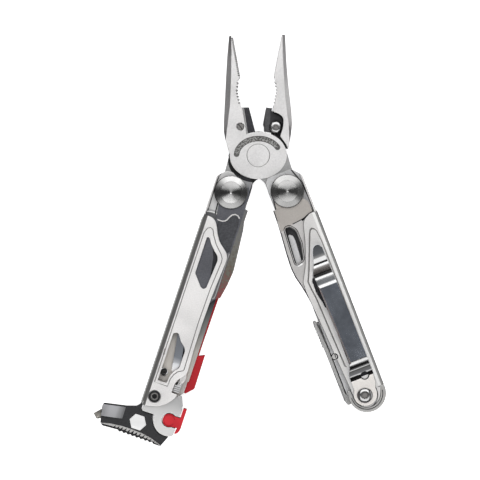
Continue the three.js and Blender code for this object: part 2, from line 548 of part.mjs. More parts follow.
piece(rightHandle, 'clip_screw', cut(
  turned(...END_RIGHT, [
    [0, 2], [2, 2], [2, CLIP_BASE[1] + 0.1], [3.15, CLIP_BASE[1] + 0.1], [3.15, 16.5], [2.6, 17.1], [1.9, 17.4],
    [0, 17.5],
  ], 24),
  prism(hexagon(...END_RIGHT, 2.6), [16.4, 18]),
), POLISHED);
piece(rightHandle, 'right_end_nut', pivotNut(...END_RIGHT, 3.6, 2), STEEL);
piece(rightHandle, 'end_spacer', washer(...END_RIGHT, 3.8, 2.3, [MID[1] + 0.1, FRONT[0] - 0.1]), STEEL);

const endCap = [
  [-5.4, -84.9, 0.3], ...arc(0.5, -88.5, 5.9, 180, 345, 12), [7.1, -87.6], [RIGHT_EDGE, -87.6],
  ...arc(0.7, -88.6, 7.75, 0, -180, 18), [-6.7, -85.2, 0.4],
];
piece(rightHandle, 'end_cap', prism(endCap, [WASHER[0], FRONT[1]]), FROSTED);

// Rocker lever along the inner side, on its own pin.
const lever = union(
  prism([
    [-9.4, -53.6, 0.4], [-8.2, -53.6, 0.4], [-7.5, -66], [-7.5, -90.2, 0.5], [-8.4, -90.2, 0.8], [-9, -74],
    [-9.1, -65.4], ...teeth([-9.15, -65.4], [-9.4, -55.4], 8, 0.3),
  ], [3.2, 9.6]),
  prism([
    [-8, -72.2], [-6.3, -72.2, 0.8], [-4.95, -70.9, 0.8], [-4.95, -69.1, 0.8], [-6.3, -67.8, 0.8], [-8, -67.8],
  ], [3.2, 9.4]),
);
piece(rightHandle, 'lock_lever', cut(lever, disc(...LEVER_PIN, 1.3, [0, 12], 16)), FROSTED);
piece(rightHandle, 'lever_pin', disc(...LEVER_PIN, 1, [BACK[0], MID[1]], 16), STEEL);

// Inner tools on the end screw, laid along the channel.
const TOOL_EYE = 3.9;
const toolEye = (layer) => disc(...END_RIGHT, TOOL_EYE, layer, 20);
const toolHole = disc(...END_RIGHT, 2.3, [0, 12], 16);
const DRIVER = [2.85, 6.05];
const driver = cut(
  union(toolEye(DRIVER), prism([
    [-4.4, -89], [-4.5, -60, 0.5], [-3.9, -57.5, 0.5], [0.4, -57.5, 0.5], [1, -60, 0.5], [3.3, -89],
  ], DRIVER)),
  toolHole,
  box([-3.6, 0.2], [-72, -57], [3.3, 5.6]),
);
piece(rightHandle, 'bit_driver', driver, STEEL);
piece(rightHandle, 'screwdriver_bit', prism([
  [-3.3, -71.7, 0.3], [-3.3, -53.5], [-2.6, -51.2], [-2.6, -48.8], [-0.8, -48.8], [-0.8, -51.2], [-0.1, -53.5],
  [-0.1, -71.7, 0.3],
], [3.6, 5.3]), DARK_STEEL);
const AWL = [6.3, 7.9];
piece(rightHandle, 'awl', cut(
  union(toolEye(AWL), prism([
    [-4.4, -89], [-4.5, -64], [-3.2, -50.5, 0.4], [-1.6, -58], [0.6, -68], [3.3, -89],
  ], AWL)),
  toolHole,
  disc(-2.9, -57, 0.6, [0, 12], 12),
), STEEL);
const OPENER = [8.15, 9.6];
piece(rightHandle, 'can_opener', cut(
  union(toolEye(OPENER), prism([
    [-4.4, -89], [-4.5, -52, 0.6], [-2.6, -49.4, 0.6], [1, -50.6, 0.4], [1.1, -54, 0.4], [-1.2, -55.4, 1],
    [-1.4, -60, 1.2], [1, -62.4, 0.5], [1.2, -74], [3.3, -89],
  ], OPENER)),
  toolHole,
), STEEL);

export default tool;
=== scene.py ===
"""Looks for the camping multi tool: pliers with two folding handles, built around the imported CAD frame.

Shapes are worked in millimetres in three flat frames, HEAD, LEFT and RIGHT, whose origins are the main
pivot and the two handle pivots; piece() turns them into metres in the row frame. In a handle's frame v
runs along the handle, towards its pivot, and u across it.
"""

import json
import math
import random

import bmesh
import bpy
import numpy as np
from mathutils import Matrix, Vector


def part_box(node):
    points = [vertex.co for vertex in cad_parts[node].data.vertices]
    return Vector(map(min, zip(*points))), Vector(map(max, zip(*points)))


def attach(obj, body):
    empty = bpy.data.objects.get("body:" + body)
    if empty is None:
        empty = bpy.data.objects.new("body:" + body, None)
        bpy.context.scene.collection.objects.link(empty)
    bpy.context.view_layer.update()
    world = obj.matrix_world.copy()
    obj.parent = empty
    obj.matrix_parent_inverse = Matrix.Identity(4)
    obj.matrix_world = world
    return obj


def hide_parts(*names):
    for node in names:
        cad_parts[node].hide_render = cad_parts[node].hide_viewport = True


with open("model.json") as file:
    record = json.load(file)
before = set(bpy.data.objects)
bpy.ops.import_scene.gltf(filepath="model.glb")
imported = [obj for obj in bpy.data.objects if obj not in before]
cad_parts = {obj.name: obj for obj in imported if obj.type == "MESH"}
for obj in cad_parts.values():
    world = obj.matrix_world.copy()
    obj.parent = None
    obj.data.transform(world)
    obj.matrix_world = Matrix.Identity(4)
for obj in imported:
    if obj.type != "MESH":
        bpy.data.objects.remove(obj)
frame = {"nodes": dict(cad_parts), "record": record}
bpy.context.view_layer.update()
random.seed(7)

MM = 0.001
HANDLE_ANGLE = math.radians(19.7)
BODY_OF = {n: b for b, nodes in frame["record"]["behaviour"]["bodies"].items() for n in nodes}
SLOT_OF = {n: o.material_slots[0].material.name for n, o in frame["nodes"].items()}


# ---------- frames ----------
def local_frame(node, angle=0.0):
    low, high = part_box(node)
    middle = (low + high) / 2
    return (
        Matrix.Translation((middle.x, middle.y, 0))
        @ Matrix.Rotation(angle, 4, "Z")
        @ Matrix.Scale(MM, 4)
    )


HEAD = local_frame("pivot_pin")
LEFT = local_frame("left_pivot_bolt", -HANDLE_ANGLE)
RIGHT = local_frame("right_pivot_bolt", HANDLE_ANGLE)


# ---------- materials ----------
def rgb(colour):
    """A colour as three numbers; a single number stands for a grey."""
    return colour if isinstance(colour, tuple) else (colour,) * 3


def shade(colour, factor):
    return tuple(min(1.0, c * factor) for c in rgb(colour))


class Nodes:
    """A material's node tree with short calls for what the finishes share."""

    def __init__(self, name):
        self.material = bpy.data.materials.new(name)
        self.material.use_nodes = True
        self.tree = self.material.node_tree
        self.shader = self.tree.nodes["Principled BSDF"]
        self.place = self.add("ShaderNodeTexCoord").outputs["Object"]

    def add(self, kind, **settings):
        node = self.tree.nodes.new(kind)
        for key, value in settings.items():
            setattr(node, key, value)
        return node

    def link(self, a, b):
        self.tree.links.new(a, b)

    def drive(self, socket, value):
        self.link(value, self.shader.inputs[socket])

    def noise(self, scale, detail):
        mapping = self.add("ShaderNodeMapping")
        mapping.inputs["Scale"].default_value = (scale, scale, scale)
        self.link(self.place, mapping.inputs["Vector"])
        noise = self.add("ShaderNodeTexNoise")
        noise.inputs["Scale"].default_value = 1.0
        noise.inputs["Detail"].default_value = detail
        self.link(mapping.outputs["Vector"], noise.inputs["Vector"])
        return noise.outputs["Fac"]

    def remap(self, value, low, high, start=0.3, end=0.7):
        node = self.add("ShaderNodeMapRange")
        node.inputs["From Min"].default_value = start
        node.inputs["From Max"].default_value = end
        node.inputs["To Min"].default_value = low
        node.inputs["To Max"].default_value = high
        self.link(value, node.inputs["Value"])
        return node.outputs["Result"]

    def ramp(self, value, stops):
        node = self.add("ShaderNodeValToRGB")
        elements = node.color_ramp.elements
        while len(elements) < len(stops):
            elements.new(0.5)
        for element, (position, colour) in zip(elements, stops):
            element.position = position
            element.color = (*rgb(colour), 1)
        self.link(value, node.inputs["Fac"])
        return node.outputs["Color"]

    def along(self, place, axis):
        """A frame's u (axis 0) or v (axis 1) in millimetres."""
        direction = place.col[axis].to_3d().normalized()
        dot = self.add("ShaderNodeVectorMath", operation="DOT_PRODUCT")
        self.link(self.place, dot.inputs[0])
        dot.inputs[1].default_value = direction / MM
        shift = self.add("ShaderNodeMath", operation="SUBTRACT")
        self.link(dot.outputs["Value"], shift.inputs[0])
        shift.inputs[1].default_value = place.translation.dot(direction) / MM
        return shift.outputs["Value"]

    def bump(self, value, depth):
        """Normals for a relief whose depth is in millimetres."""
        node = self.add("ShaderNodeBump")
        node.inputs["Distance"].default_value = depth * MM
        self.link(value, node.inputs["Height"])
        return node.outputs["Normal"]


def metal_nodes(name, colour, roughness, grain=2200, spread=0.07, depth=0.004, metallic=1.0):
    """Blasted metal: fine grain in colour and height, cloudier changes in roughness."""
    n = Nodes(name)
    fine = n.noise(grain, 3)
    cloud = n.noise(90, 4)
    stops = [(0.25, shade(colour, 1 - spread)), (0.75, shade(colour, 1 + spread))]
    n.drive("Base Color", n.ramp(fine, stops))
    n.drive("Roughness", n.remap(cloud, roughness - 0.05, roughness + 0.05))
    n.drive("Normal", n.bump(fine, depth))
    n.shader.inputs["Metallic"].default_value = metallic
    return n


def metal(*given, **more):
    """The same finish as a material, for the pieces."""
    return metal_nodes(*given, **more).material


def plastic(name, colour, roughness):
    """Moulded plastic with a fine texture and cloudy changes in colour and roughness."""
    n = Nodes(name)
    fine = n.noise(1500, 2)
    cloud = n.noise(120, 3)
    n.drive("Base Color", n.ramp(cloud, [(0.3, shade(colour, 0.85)), (0.7, shade(colour, 1.1))]))
    n.drive("Roughness", n.remap(cloud, roughness - 0.06, roughness + 0.06))
    n.drive("Normal", n.bump(fine, 0.01))
    n.shader.inputs["Specular IOR Level"].default_value = 0.3
    return n.material


def graded(name, place, start, end, stops, roughness, axis=1, mottle=0.0):
    """Metal whose colour changes along a frame's v (axis 1) or u (axis 0); mottle blurs the stages."""
    n = metal_nodes(name, 0.5, roughness)
    way = n.remap(n.along(place, axis), 0, 1, start, end)
    if mottle:
        shift = n.add("ShaderNodeMath", operation="ADD")
        n.link(way, shift.inputs[0])
        n.link(n.remap(n.noise(900, 5), -mottle, mottle), shift.inputs[1])
        way = shift.outputs["Value"]
    n.drive("Base Color", n.ramp(way, stops))
    return n.material


def fan(name, place, south, middle, north, roughness, anisotropy):
    """Metal turned on a lathe: fine rings round the middle, so highlights fan out from it.

    Its grey is painted highlight and shade, changing with the direction from the middle, from one end of v
    over the sides to the other end.
    """
    n = metal_nodes(name, (0.33, 0.328, 0.325), roughness, grain=900, spread=0.05, depth=0.001)
    tangent = n.add("ShaderNodeTangent", direction_type="RADIAL", axis="Z")
    n.drive("Tangent", tangent.outputs["Tangent"])
    n.shader.inputs["Anisotropic"].default_value = anisotropy
    n.shader.inputs["Anisotropic Rotation"].default_value = 0.25
    u, v = n.along(place, 0), n.along(place, 1)
    radius = n.add("ShaderNodeVectorMath", operation="LENGTH")
    both = n.add("ShaderNodeCombineXYZ")
    n.link(u, both.inputs["X"])
    n.link(v, both.inputs["Y"])
    n.link(both.outputs["Vector"], radius.inputs[0])
    sine = n.add("ShaderNodeMath", operation="DIVIDE")
    n.link(v, sine.inputs[0])
    n.link(radius.outputs["Value"], sine.inputs[1])
    way = n.remap(sine.outputs["Value"], 0, 1, -1, 1)
    stops = [(0.0, south), (0.05, south), (0.24, middle), (0.72, middle), (0.92, north), (1.0, north)]
    n.drive("Base Color", n.ramp(way, [(at, (grey, grey * 0.995, grey * 0.985)) for at, grey in stops]))
    return n.material


SATIN = metal("satin_plate", (0.67, 0.66, 0.65), 0.42)
BRIGHT = metal("satin_front", (0.77, 0.757, 0.75), 0.42)
# A near white for painted highlights on lips and bevels.
LIP = metal("burnished_lip", (0.93, 0.93, 0.92), 0.4)
# A light grey for the painted highlight strip along the right frame's roll.
STRIP = metal("bright_strip", (0.80, 0.795, 0.785), 0.42)
JAW = metal("satin_jaw", (0.67, 0.663, 0.66), 0.42, grain=1600, spread=0.08)
ARM = metal("jaw_arm", 0.34, 0.42, grain=1600, spread=0.08)
# The turned caps and rings carry painted highlight and shade, lighter or darker by direction.
TURNED = {
    "left": [fan("left_turned_cap", LEFT, 0.47, 0.19, 0.27, 0.22, 0.86),
             fan("left_turned_ring", LEFT, 0.28, 0.19, 0.40, 0.24, 0.7)],
    "right": [fan("right_turned_cap", RIGHT, 0.32, 0.25, 0.28, 0.24, 0.84),
              fan("right_turned_ring", RIGHT, 0.24, 0.27, 0.32, 0.26, 0.6)],
}
POLISHED = metal("polished", 0.80, 0.12, grain=600, spread=0.03, depth=0.0006)
FROSTED = metal("frosted", (0.50, 0.50, 0.505), 0.5, grain=1300, spread=0.1, depth=0.01)
LEVER = metal("lever_grey", (0.38, 0.38, 0.375), 0.5, grain=1300, spread=0.1, depth=0.01)
KNIFE = metal("knife_steel", (0.52, 0.508, 0.50), 0.42, grain=1500, spread=0.06)
KNIFE_TANG = metal("knife_tang", (0.42, 0.395, 0.37), 0.42, grain=1500, spread=0.06)
SAW = metal("saw_recess", (0.076, 0.077, 0.084), 0.42, grain=1500, spread=0.25, depth=0.008)
SLATE = metal("slate", (0.16, 0.162, 0.17), 0.42, grain=1500, spread=0.15)
SAW_TIP = graded("saw_tip", LEFT, -62, -78, [
    (0.0, (0.17, 0.18, 0.20)), (0.55, (0.20, 0.215, 0.24)), (0.72, (0.5, 0.51, 0.53)),
    (1.0, (0.78, 0.77, 0.76)),
], 0.42)
WORN = metal("worn_edge", (0.62, 0.61, 0.60), 0.4, grain=1500, spread=0.12)
ROLLED = metal("rolled_edge", (0.42, 0.415, 0.405), 0.42)
PIT = metal("pit", (0.012, 0.012, 0.013), 0.5, spread=0.2, metallic=0.5)
DOME = metal("screw_dome", 0.36, 0.22, grain=900, spread=0.04, depth=0.001)
CUTTER_FLAT = metal("cutter_flat", (0.085, 0.085, 0.088), 0.42, grain=1500, spread=0.2, depth=0.006)
TANG = metal("saw_flat", (0.115, 0.117, 0.13), 0.42, grain=1500, spread=0.15, depth=0.006)
# Dark steel for dark parts; the same colour also stands for painted shade in gaps, slots, sockets and
# outlines.
DARK = metal("dark_steel", (0.035, 0.035, 0.038), 0.45, spread=0.15)
# A dark grey for engraved lines and a screw; it is also painted shade in the pivot gap and screw sockets.
LINE = metal("engraved_line", (0.20, 0.195, 0.19), 0.5)
CUTTER = metal("cutter_steel", (0.045, 0.045, 0.05), 0.42, grain=1500, spread=0.2, depth=0.006)
CUTTER_EDGE = metal("cutter_edge", 0.34, 0.4, grain=1500, spread=0.1)
# Black oxide on the hammer; the same black is painted shade in the jaw's pocket, beside the disc and inside
# the right handle.
BLACK = metal("black_oxide", (0.022, 0.022, 0.024), 0.42, grain=1200, spread=0.25, depth=0.012, metallic=0.4)
CLIP = metal("clip_steel", (0.72, 0.785, 0.89), 0.13, grain=420, spread=0.12, depth=0.0008)
BASE = metal("clip_base", (0.78, 0.75, 0.72), 0.42)
RED = plastic("red_plastic", (0.40, 0.004, 0.011), 0.45)
KNOB = plastic("red_knob", (0.54, 0.014, 0.024), 0.42)
FIRE = metal("fire_rod", (0.06, 0.06, 0.062), 0.6, grain=1500, spread=0.25, depth=0.02)
CARBIDE = metal("carbide", (0.80, 0.77, 0.70), 0.45, spread=0.15)
BRONZE = metal("bronze", (0.45, 0.27, 0.12), 0.4)
LABEL = metal("label_recess", (0.125, 0.123, 0.12), 0.55, grain=1500, spread=0.35, depth=0.03)
STIPPLE = metal("label_stipple", (0.36, 0.36, 0.35), 0.5)
# The liner's grey along v is painted light and shade: lightest near the eye, darkest midway, lighter again
# towards the end.
LINER = graded("liner", LEFT, 10, -90, [
    (0.06, (0.62, 0.61, 0.60)), (0.14, 0.5), (0.20, 0.40), (0.40, (0.12, 0.12, 0.13)),
    (0.54, (0.04, 0.043, 0.048)), (0.60, (0.11, 0.12, 0.12)), (0.68, (0.24, 0.24, 0.23)),
    (0.76, (0.46, 0.44, 0.41)), (0.86, (0.52, 0.49, 0.455)), (0.92, (0.42, 0.40, 0.38)),
], 0.45)
EYE = graded("channel_eye", LEFT, -7, 8, [
    (0.0, (0.62, 0.615, 0.61)), (0.5, 0.52), (0.75, (0.32, 0.32, 0.325)), (1.0, (0.24, 0.24, 0.25)),
], 0.42, axis=0)
# The spine's grey turning red along v is a painted reflection of the red whistle nearby.
SPINE = graded("saw_spine", LEFT, 0, -50, [
    (0.20, 0.17), (0.42, (0.19, 0.185, 0.17)), (0.60, (0.15, 0.14, 0.115)), (0.68, (0.17, 0.115, 0.10)),
    (0.76, (0.21, 0.095, 0.09)), (0.86, (0.25, 0.075, 0.075)),
], 0.45, mottle=0.16)
BOSS = graded("worn_boss", LEFT, -23, -9.5, [
    (0.0, (0.42, 0.42, 0.435)), (0.3, (0.52, 0.52, 0.54)), (0.5, (0.46, 0.46, 0.475)),
    (0.62, (0.30, 0.30, 0.31)), (0.70, (0.17, 0.17, 0.175)), (0.78, (0.14, 0.14, 0.145)),
    (0.90, (0.05, 0.05, 0.052)), (1.0, (0.025, 0.025, 0.026)),
], 0.32, axis=0)
# The hook is painted darker near the frame, as the frame's shadow on it, and lighter towards the ring.
HOOK = graded("hook_steel", LEFT, -84, -103, [
    (0.0, (0.36, 0.358, 0.36)), (0.25, 0.42), (0.5, (0.58, 0.578, 0.575)), (0.8, (0.64, 0.636, 0.63)),
], 0.45)
# The clip's bent tip and heel are painted in bands of highlight and shade, the reflections of their bends.
CLIP_TIP = graded("clip_tip", RIGHT, -24.5, -42.5, [
    (0.0, (0.040, 0.043, 0.047)), (0.22, (0.055, 0.058, 0.062)), (0.29, 0.15), (0.31, 0.42), (0.39, 0.42),
    (0.41, 0.012), (0.43, 0.012), (0.45, 0.42), (0.48, 0.42), (0.52, (0.15, 0.14, 0.135)),
    (0.625, (0.13, 0.12, 0.115)), (0.645, 0.012), (0.66, 0.1), (0.685, 0.1), (0.70, 0.012), (0.725, 0.36),
    (0.76, 0.36), (0.80, (0.12, 0.125, 0.13)), (0.875, (0.10, 0.105, 0.11)), (0.905, 0.42), (0.945, 0.42),
    (0.97, (0.06, 0.065, 0.072)),
], 0.2)
CLIP_HEEL = graded("clip_heel", RIGHT, -74, -82, [
    (0.0, (0.10, 0.105, 0.11)), (0.08, 0.44), (0.25, 0.42), (0.30, 0.03), (0.36, 0.03), (0.40, 0.36),
    (0.46, 0.34), (0.50, 0.03), (0.56, 0.06), (0.70, (0.08, 0.08, 0.085)), (0.75, 0.30), (0.80, 0.28),
    (0.835, 0.01),
], 0.2)
# The finish of each slot whose nodes keep their own shape.
FINISH = {"satin_steel": SATIN, "dark_steel": DARK, "bronze": BRONZE}


# ---------- shapes ----------
def cad(node, place):
    """The node's shape as a mesh in a local frame, with the triangles of each flat face joined."""
    source = frame["nodes"][node].data
    mesh = bpy.data.meshes.new("scratch")
    mesh.from_pydata([v.co for v in source.vertices], [], [p.vertices[:] for p in source.polygons])
    bm = bmesh.new()
    bm.from_mesh(mesh)
    bpy.data.meshes.remove(mesh)
    bm.transform(place.inverted())
    bmesh.ops.remove_doubles(bm, verts=bm.verts, dist=1e-3)
    bmesh.ops.dissolve_limit(bm, angle_limit=math.radians(0.6), verts=bm.verts, edges=bm.edges)
    bm.normal_update()
    return bm


FILLET_STEPS = 6


def outline(points):
    """Corners [x, y] or [x, y, fillet] with the fillets drawn in."""
    result = []
    for i, (x, y, *fillet) in enumerate(points):
        corner = Vector((x, y))
        if not fillet:
            result.append(corner)
            continue
        before = Vector(points[i - 1][:2]) - corner
        after = Vector(points[(i + 1) % len(points)][:2]) - corner
        reach = min(fillet[0], before.length * 0.48, after.length * 0.48)
        start, end = corner + before.normalized() * reach, corner + after.normalized() * reach
        for k in range(FILLET_STEPS + 1):
            t = k / FILLET_STEPS
            result.append(start * (1 - t) ** 2 + corner * 2 * t * (1 - t) + end * t**2)
    return result


def circle(x, y, radius, steps, start=0.0, end=360.0):
    """Points on a circle, or on an arc from start to end in degrees."""
    whole = abs(end - start) >= 360
    count = steps if whole else steps + 1
    angles = [math.radians(start + (end - start) * i / steps) for i in range(count)]
    return [(x + radius * math.cos(a), y + radius * math.sin(a)) for a in angles]


def offset(points, distance):
    """The outline moved outwards, corner by corner."""
    corners = outline(points)
    after_each = corners[1:] + corners[:1]
    area = sum(p.x * q.y - q.x * p.y for p, q in zip(corners, after_each))
    moved = []
    for i, corner in enumerate(corners):
        before = (corner - corners[i - 1]).normalized()
        after = (after_each[i] - corner).normalized()
        sideways = Vector((before.y + after.y, -before.x - after.x)).normalized()
        reach = distance / max(0.5, sideways.dot(Vector((before.y, -before.x))))
        moved.append(corner + sideways * (reach if area > 0 else -reach))
    return moved


def loft(rings, material=0):
    """A closed body through rings of 3D points that have as many points each."""
    bm = bmesh.new()
    made = [[bm.verts.new(p) for p in ring] for ring in rings]
    bm.faces.new(made[0])
    bm.faces.new(made[-1])
    for ring, above in zip(made, made[1:]):
        for i in range(len(ring)):
            j = (i + 1) % len(ring)
            bm.faces.new((ring[i], ring[j], above[j], above[i]))
    bmesh.ops.recalc_face_normals(bm, faces=bm.faces)
    for face in bm.faces:
        face.material_index = material
    return bm


def prism(points, low, high, material=0, grow=0.0):
    """A closed extrusion of an outline between two heights; its top can be wider all round."""
    top = offset(points, grow) if grow else outline(points)
    return loft([[(p[0], p[1], low) for p in outline(points)], [(p[0], p[1], high) for p in top]], material)


def sweep(section, v0, v1, material):
    """A bar whose [u, z] section runs along v."""
    return loft([[(u, v, z) for u, z in section] for v in (v0, v1)], material)


def merge(parts):
    """One mesh of several that don't touch, or only overlap out of sight."""
    out = bmesh.new()
    for part in parts:
        mesh = bpy.data.meshes.new("scratch")
        part.to_mesh(mesh)
        part.free()
        out.from_mesh(mesh)
        bpy.data.meshes.remove(mesh)
    return out


def hull(points):
    bm = bmesh.new()
    for p in points:
        bm.verts.new(p)
    made = bmesh.ops.convex_hull(bm, input=bm.verts)
    loose = [v for v in made["geom_interior"] + made["geom_unused"] if isinstance(v, bmesh.types.BMVert)]
    bmesh.ops.delete(bm, geom=list(set(loose)), context="VERTS")
    return bm


def groove(points, width, low, high, material=1, closed=False):
    """A cutter that follows a line of points: a ribbon of that width between two heights."""
    line = [Vector(p[:2]) for p in points]
    count = len(line)
    sides = ([], [])
    for i, point in enumerate(line):
        before = line[i - 1] if i or closed else line[0]
        after = line[(i + 1) % count] if i < count - 1 or closed else line[-1]
        along = (after - before).normalized()
        across = Vector((-along.y, along.x)) * width / 2
        sides[0].append(point + across)
        sides[1].append(point - across)
    if not closed:
        return prism([*sides[0], *reversed(sides[1])], low, high, material)
    ring = [[(*a, low), (*a, high), (*b, high), (*b, low)] for a, b in zip(*sides)]
    bm = bmesh.new()
    made = [[bm.verts.new(p) for p in corners] for corners in ring]
    for i in range(count):
        here, there = made[i], made[(i + 1) % count]
        for k in range(4):
            bm.faces.new((here[k], here[(k + 1) % 4], there[(k + 1) % 4], there[k]))
    bmesh.ops.recalc_face_normals(bm, faces=bm.faces)
    for face in bm.faces:
        face.material_index = material
    return bm


def scratch(bm):
    mesh = bpy.data.meshes.new("scratch")
    bm.to_mesh(mesh)
    obj = bpy.data.objects.new("scratch", mesh)
    bpy.context.scene.collection.objects.link(obj)
    return obj


def carve(bm, *cutters, operation="DIFFERENCE"):
    """The mesh with the cutters taken away, or joined on; the cutters' faces keep their material index.

    A cutter's top only has to be clear of the surface it cuts, so 12, 14 and 16 are no heights of the tool.
    """
    target = scratch(bm)
    tools = [scratch(cutter) for cutter in cutters]
    for tool in tools:
        modifier = target.modifiers.new("carve", "BOOLEAN")
        modifier.object, modifier.operation, modifier.solver = tool, operation, "EXACT"
    bpy.context.view_layer.update()
    result = target.evaluated_get(bpy.context.evaluated_depsgraph_get())
    mesh = bpy.data.meshes.new_from_object(result)
    out = bmesh.new()
    out.from_mesh(mesh)
    for obj in [target, *tools]:
        data = obj.data
        bpy.data.objects.remove(obj)
        bpy.data.meshes.remove(data)
    bpy.data.meshes.remove(mesh)
    bm.free()
    for cutter in cutters:
        cutter.free()
    out.normal_update()
    return out


SHARP_RIM = math.radians(25)


def soften(bm, width, keep=None):
    """Rounds the outer rims where a flat top or bottom face meets a wall, or those that keep picks."""
    rims = []
    for edge in bm.edges:
        if len(edge.link_faces) != 2 or edge.calc_face_angle(0) < SHARP_RIM:
            continue
        flat = [abs(f.normal.z) > 0.995 for f in edge.link_faces]
        if flat[0] == flat[1] or edge.calc_length() < 1e-4:
            continue
        if edge.calc_face_angle_signed(0) <= 0:
            continue
        if keep is None or keep((edge.verts[0].co + edge.verts[1].co) / 2):
            rims.append(edge)
    bmesh.ops.bevel(
        bm, geom=rims, offset=width, offset_type="OFFSET", segments=2, profile=0.5,
        affect="EDGES", clamp_overlap=False,
    )
    bm.normal_update()
    return bm


def turned(x, y, profile, steps):
    """A solid of revolution from [radius, height] points that start and end on the axis."""
    bm = bmesh.new()
    rings = []
    for radius, z in profile:
        if radius < 1e-6:
            rings.append([bm.verts.new((x, y, z))])
        else:
            rings.append([bm.verts.new((px, py, z)) for px, py in circle(x, y, radius, steps)])
    for below, above in zip(rings, rings[1:]):
        for i in range(steps):
            j = (i + 1) % steps
            if len(below) == 1:
                bm.faces.new((below[0], above[j], above[i]))
            elif len(above) == 1:
                bm.faces.new((below[i], below[j], above[0]))
            else:
                bm.faces.new((below[i], below[j], above[j], above[i]))
    bmesh.ops.recalc_face_normals(bm, faces=bm.faces)
    return bm


def mid(face):
    return face.calc_center_median()


def paint(bm, index, test):
    """Gives the faces that pass the test a material index."""
    for face in bm.faces:
        if test(face):
            face.material_index = index


def piece(name, bm, place, materials, node=None, body=None, sharp=32, weighted=True):
    """Puts a finished mesh in the scene. With a node it stands for that node, on its body."""
    bm.transform(place)
    bmesh.ops.remove_doubles(bm, verts=bm.verts, dist=1e-7)
    mesh = bpy.data.meshes.new(name)
    bm.to_mesh(mesh)
    bm.free()
    for material in materials:
        mesh.materials.append(material)
    mesh.shade_smooth()
    mesh.set_sharp_from_angle(angle=math.radians(sharp))
    obj = bpy.data.objects.new(name, mesh)
    bpy.context.scene.collection.objects.link(obj)
    if weighted:
        modifier = obj.modifiers.new("normals", "WEIGHTED_NORMAL")
        modifier.keep_sharp = True
        modifier.weight = 60
    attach(obj, body or BODY_OF[node])
    if node:
        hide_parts(node)


def plain(node, place, width=0.12, material=None):
    """A node whose shape is right: its own shape with rounded rims and its finish."""
    bm = soften(cad(node, place), width)
    piece(f"{node}_finish", bm, place, [material or FINISH[SLOT_OF[node]]], node)


def socket_nut(node, place, rim, socket, depth):
    """A nut with rounded rims and a hexagon socket in its underside, painted dark inside as shade."""
    bm = carve(soften(cad(node, place), rim), prism(socket, -1, depth, 1))
    piece(f"{node}_finish", bm, place, [POLISHED, DARK], node)


def top_faces(height, test=lambda p: True):
    """Picks the faces that lie flat at a height."""
    return lambda f: f.normal.z > 0.99 and abs(mid(f).z - height) < 0.06 and test(mid(f))


# ---------- plier head ----------
JAW_TOP = 9.7
HALF_TOP = 6.05
BAND = (8.9, 6.9)          # half-axes of the recessed band's centre line
BAND_WIDTH = 2.3
BAND_DEPTH = 0.35
BAND_FLOOR = JAW_TOP - BAND_DEPTH
DISC = (11.7, 9.65)        # half-axes of the round front disc
LEFT_SCREW = (-7.06, 11.96)
RIGHT_SCREW = (7.5, 11.5)


def on_disc(angle, out=0.0):
    a = math.radians(angle)
    return (DISC[0] + out) * math.cos(a), (DISC[1] + out) * math.sin(a)


def on_band(angle, out=0.0):
    a = math.radians(angle)
    return (BAND[0] + out) * math.cos(a), (BAND[1] + out) * math.sin(a)


def band_outline():
    half = BAND_WIDTH / 2
    first, last = on_band(27), on_band(174)
    return (
        [on_band(a, half) for a in range(27, 175, 4)]
        + circle(*last, half, 6, 186, 330)
        + [on_band(a, -half) for a in range(171, 26, -4)]
        + circle(*first, half, 6, -125, 15)
    )


def stipple(count):
    """Short raised strokes at all angles on the floor of the band."""
    strokes = []
    low = BAND_FLOOR - 0.05
    for _ in range(count):
        x, y = on_band(random.uniform(28, 172), random.uniform(-0.75, 0.75))
        turn, length, wide = random.uniform(0, math.pi), random.uniform(0.2, 0.42), random.uniform(0.1, 0.16)
        ends = [(length, wide * 0.5), (length, -wide * 0.5), (length * 0.7, -wide), (-length * 0.7, -wide),
                (-length, -wide * 0.5), (-length, wide * 0.5), (-length * 0.7, wide), (length * 0.7, wide)]
        spin = Matrix.Rotation(turn, 2)
        around = [spin @ Vector(p) + Vector((x, y)) for p in ends]
        strokes.append(prism(around, low, low + random.uniform(0.16, 0.26), grow=-0.04))
    return merge(strokes)


# The arm beside the disc is a step lower, so the disc stands out as a round plate.
beside_disc = carve(
    prism([(0, -14), (20, -14), (20, -4), (13.2, -1.5), (12.2, 2), (4, 0), (0, -6)], 9.1, 12, 1),
    prism([on_disc(a) for a in range(0, 360, 6)], 5, 14, 1),
)
TOOTH = [(0.5, 0.5), (-1.0, 0.1), (-0.6, -0.5), (0.5, -0.35)]
TOOTH_ROWS = [
    ((-9.3, 48.4), (-6.85, 32.6), 19, 0.78),
    ((-7.55, 30.6), (-8.15, 26.2), 3, 0.62),
    ((-8.15, 26.2), (-7.05, 21), 4, 0.62),
]
# Small notches along the teeth, painted dark as shade in the valleys between them.
tooth_marks = []
for start, end, count, size in TOOTH_ROWS:
    for i in range(count):
        middle = Vector(start).lerp(Vector(end), (i + 0.5) / count)
        corners = [middle + Vector(c) * size for c in TOOTH]
        tooth_marks.append(prism(corners, JAW_TOP - 0.4, JAW_TOP + 1, 2))
left_jaw = carve(
    soften(cad("left_jaw", HEAD), 0.12),
    beside_disc,
    # the band, with its walls painted dark as shade
    prism(band_outline(), BAND_FLOOR, JAW_TOP + 1, 2),
    *tooth_marks,
)
# The faces round the pivot pin's bore are painted grey as shade in the gap round the pin.
paint(left_jaw, 3, lambda f: mid(f).xy.length < 4.95 and 8 < mid(f).z < 9.6)
paint(left_jaw, 4, top_faces(BAND_FLOOR, lambda p: p.y > -1))
piece("left_jaw_finish", left_jaw, HEAD, [JAW, ARM, DARK, LINE, LABEL], "left_jaw", sharp=28)
piece("label_stipple", stipple(150), HEAD, [STIPPLE], body="left_jaw", sharp=40)


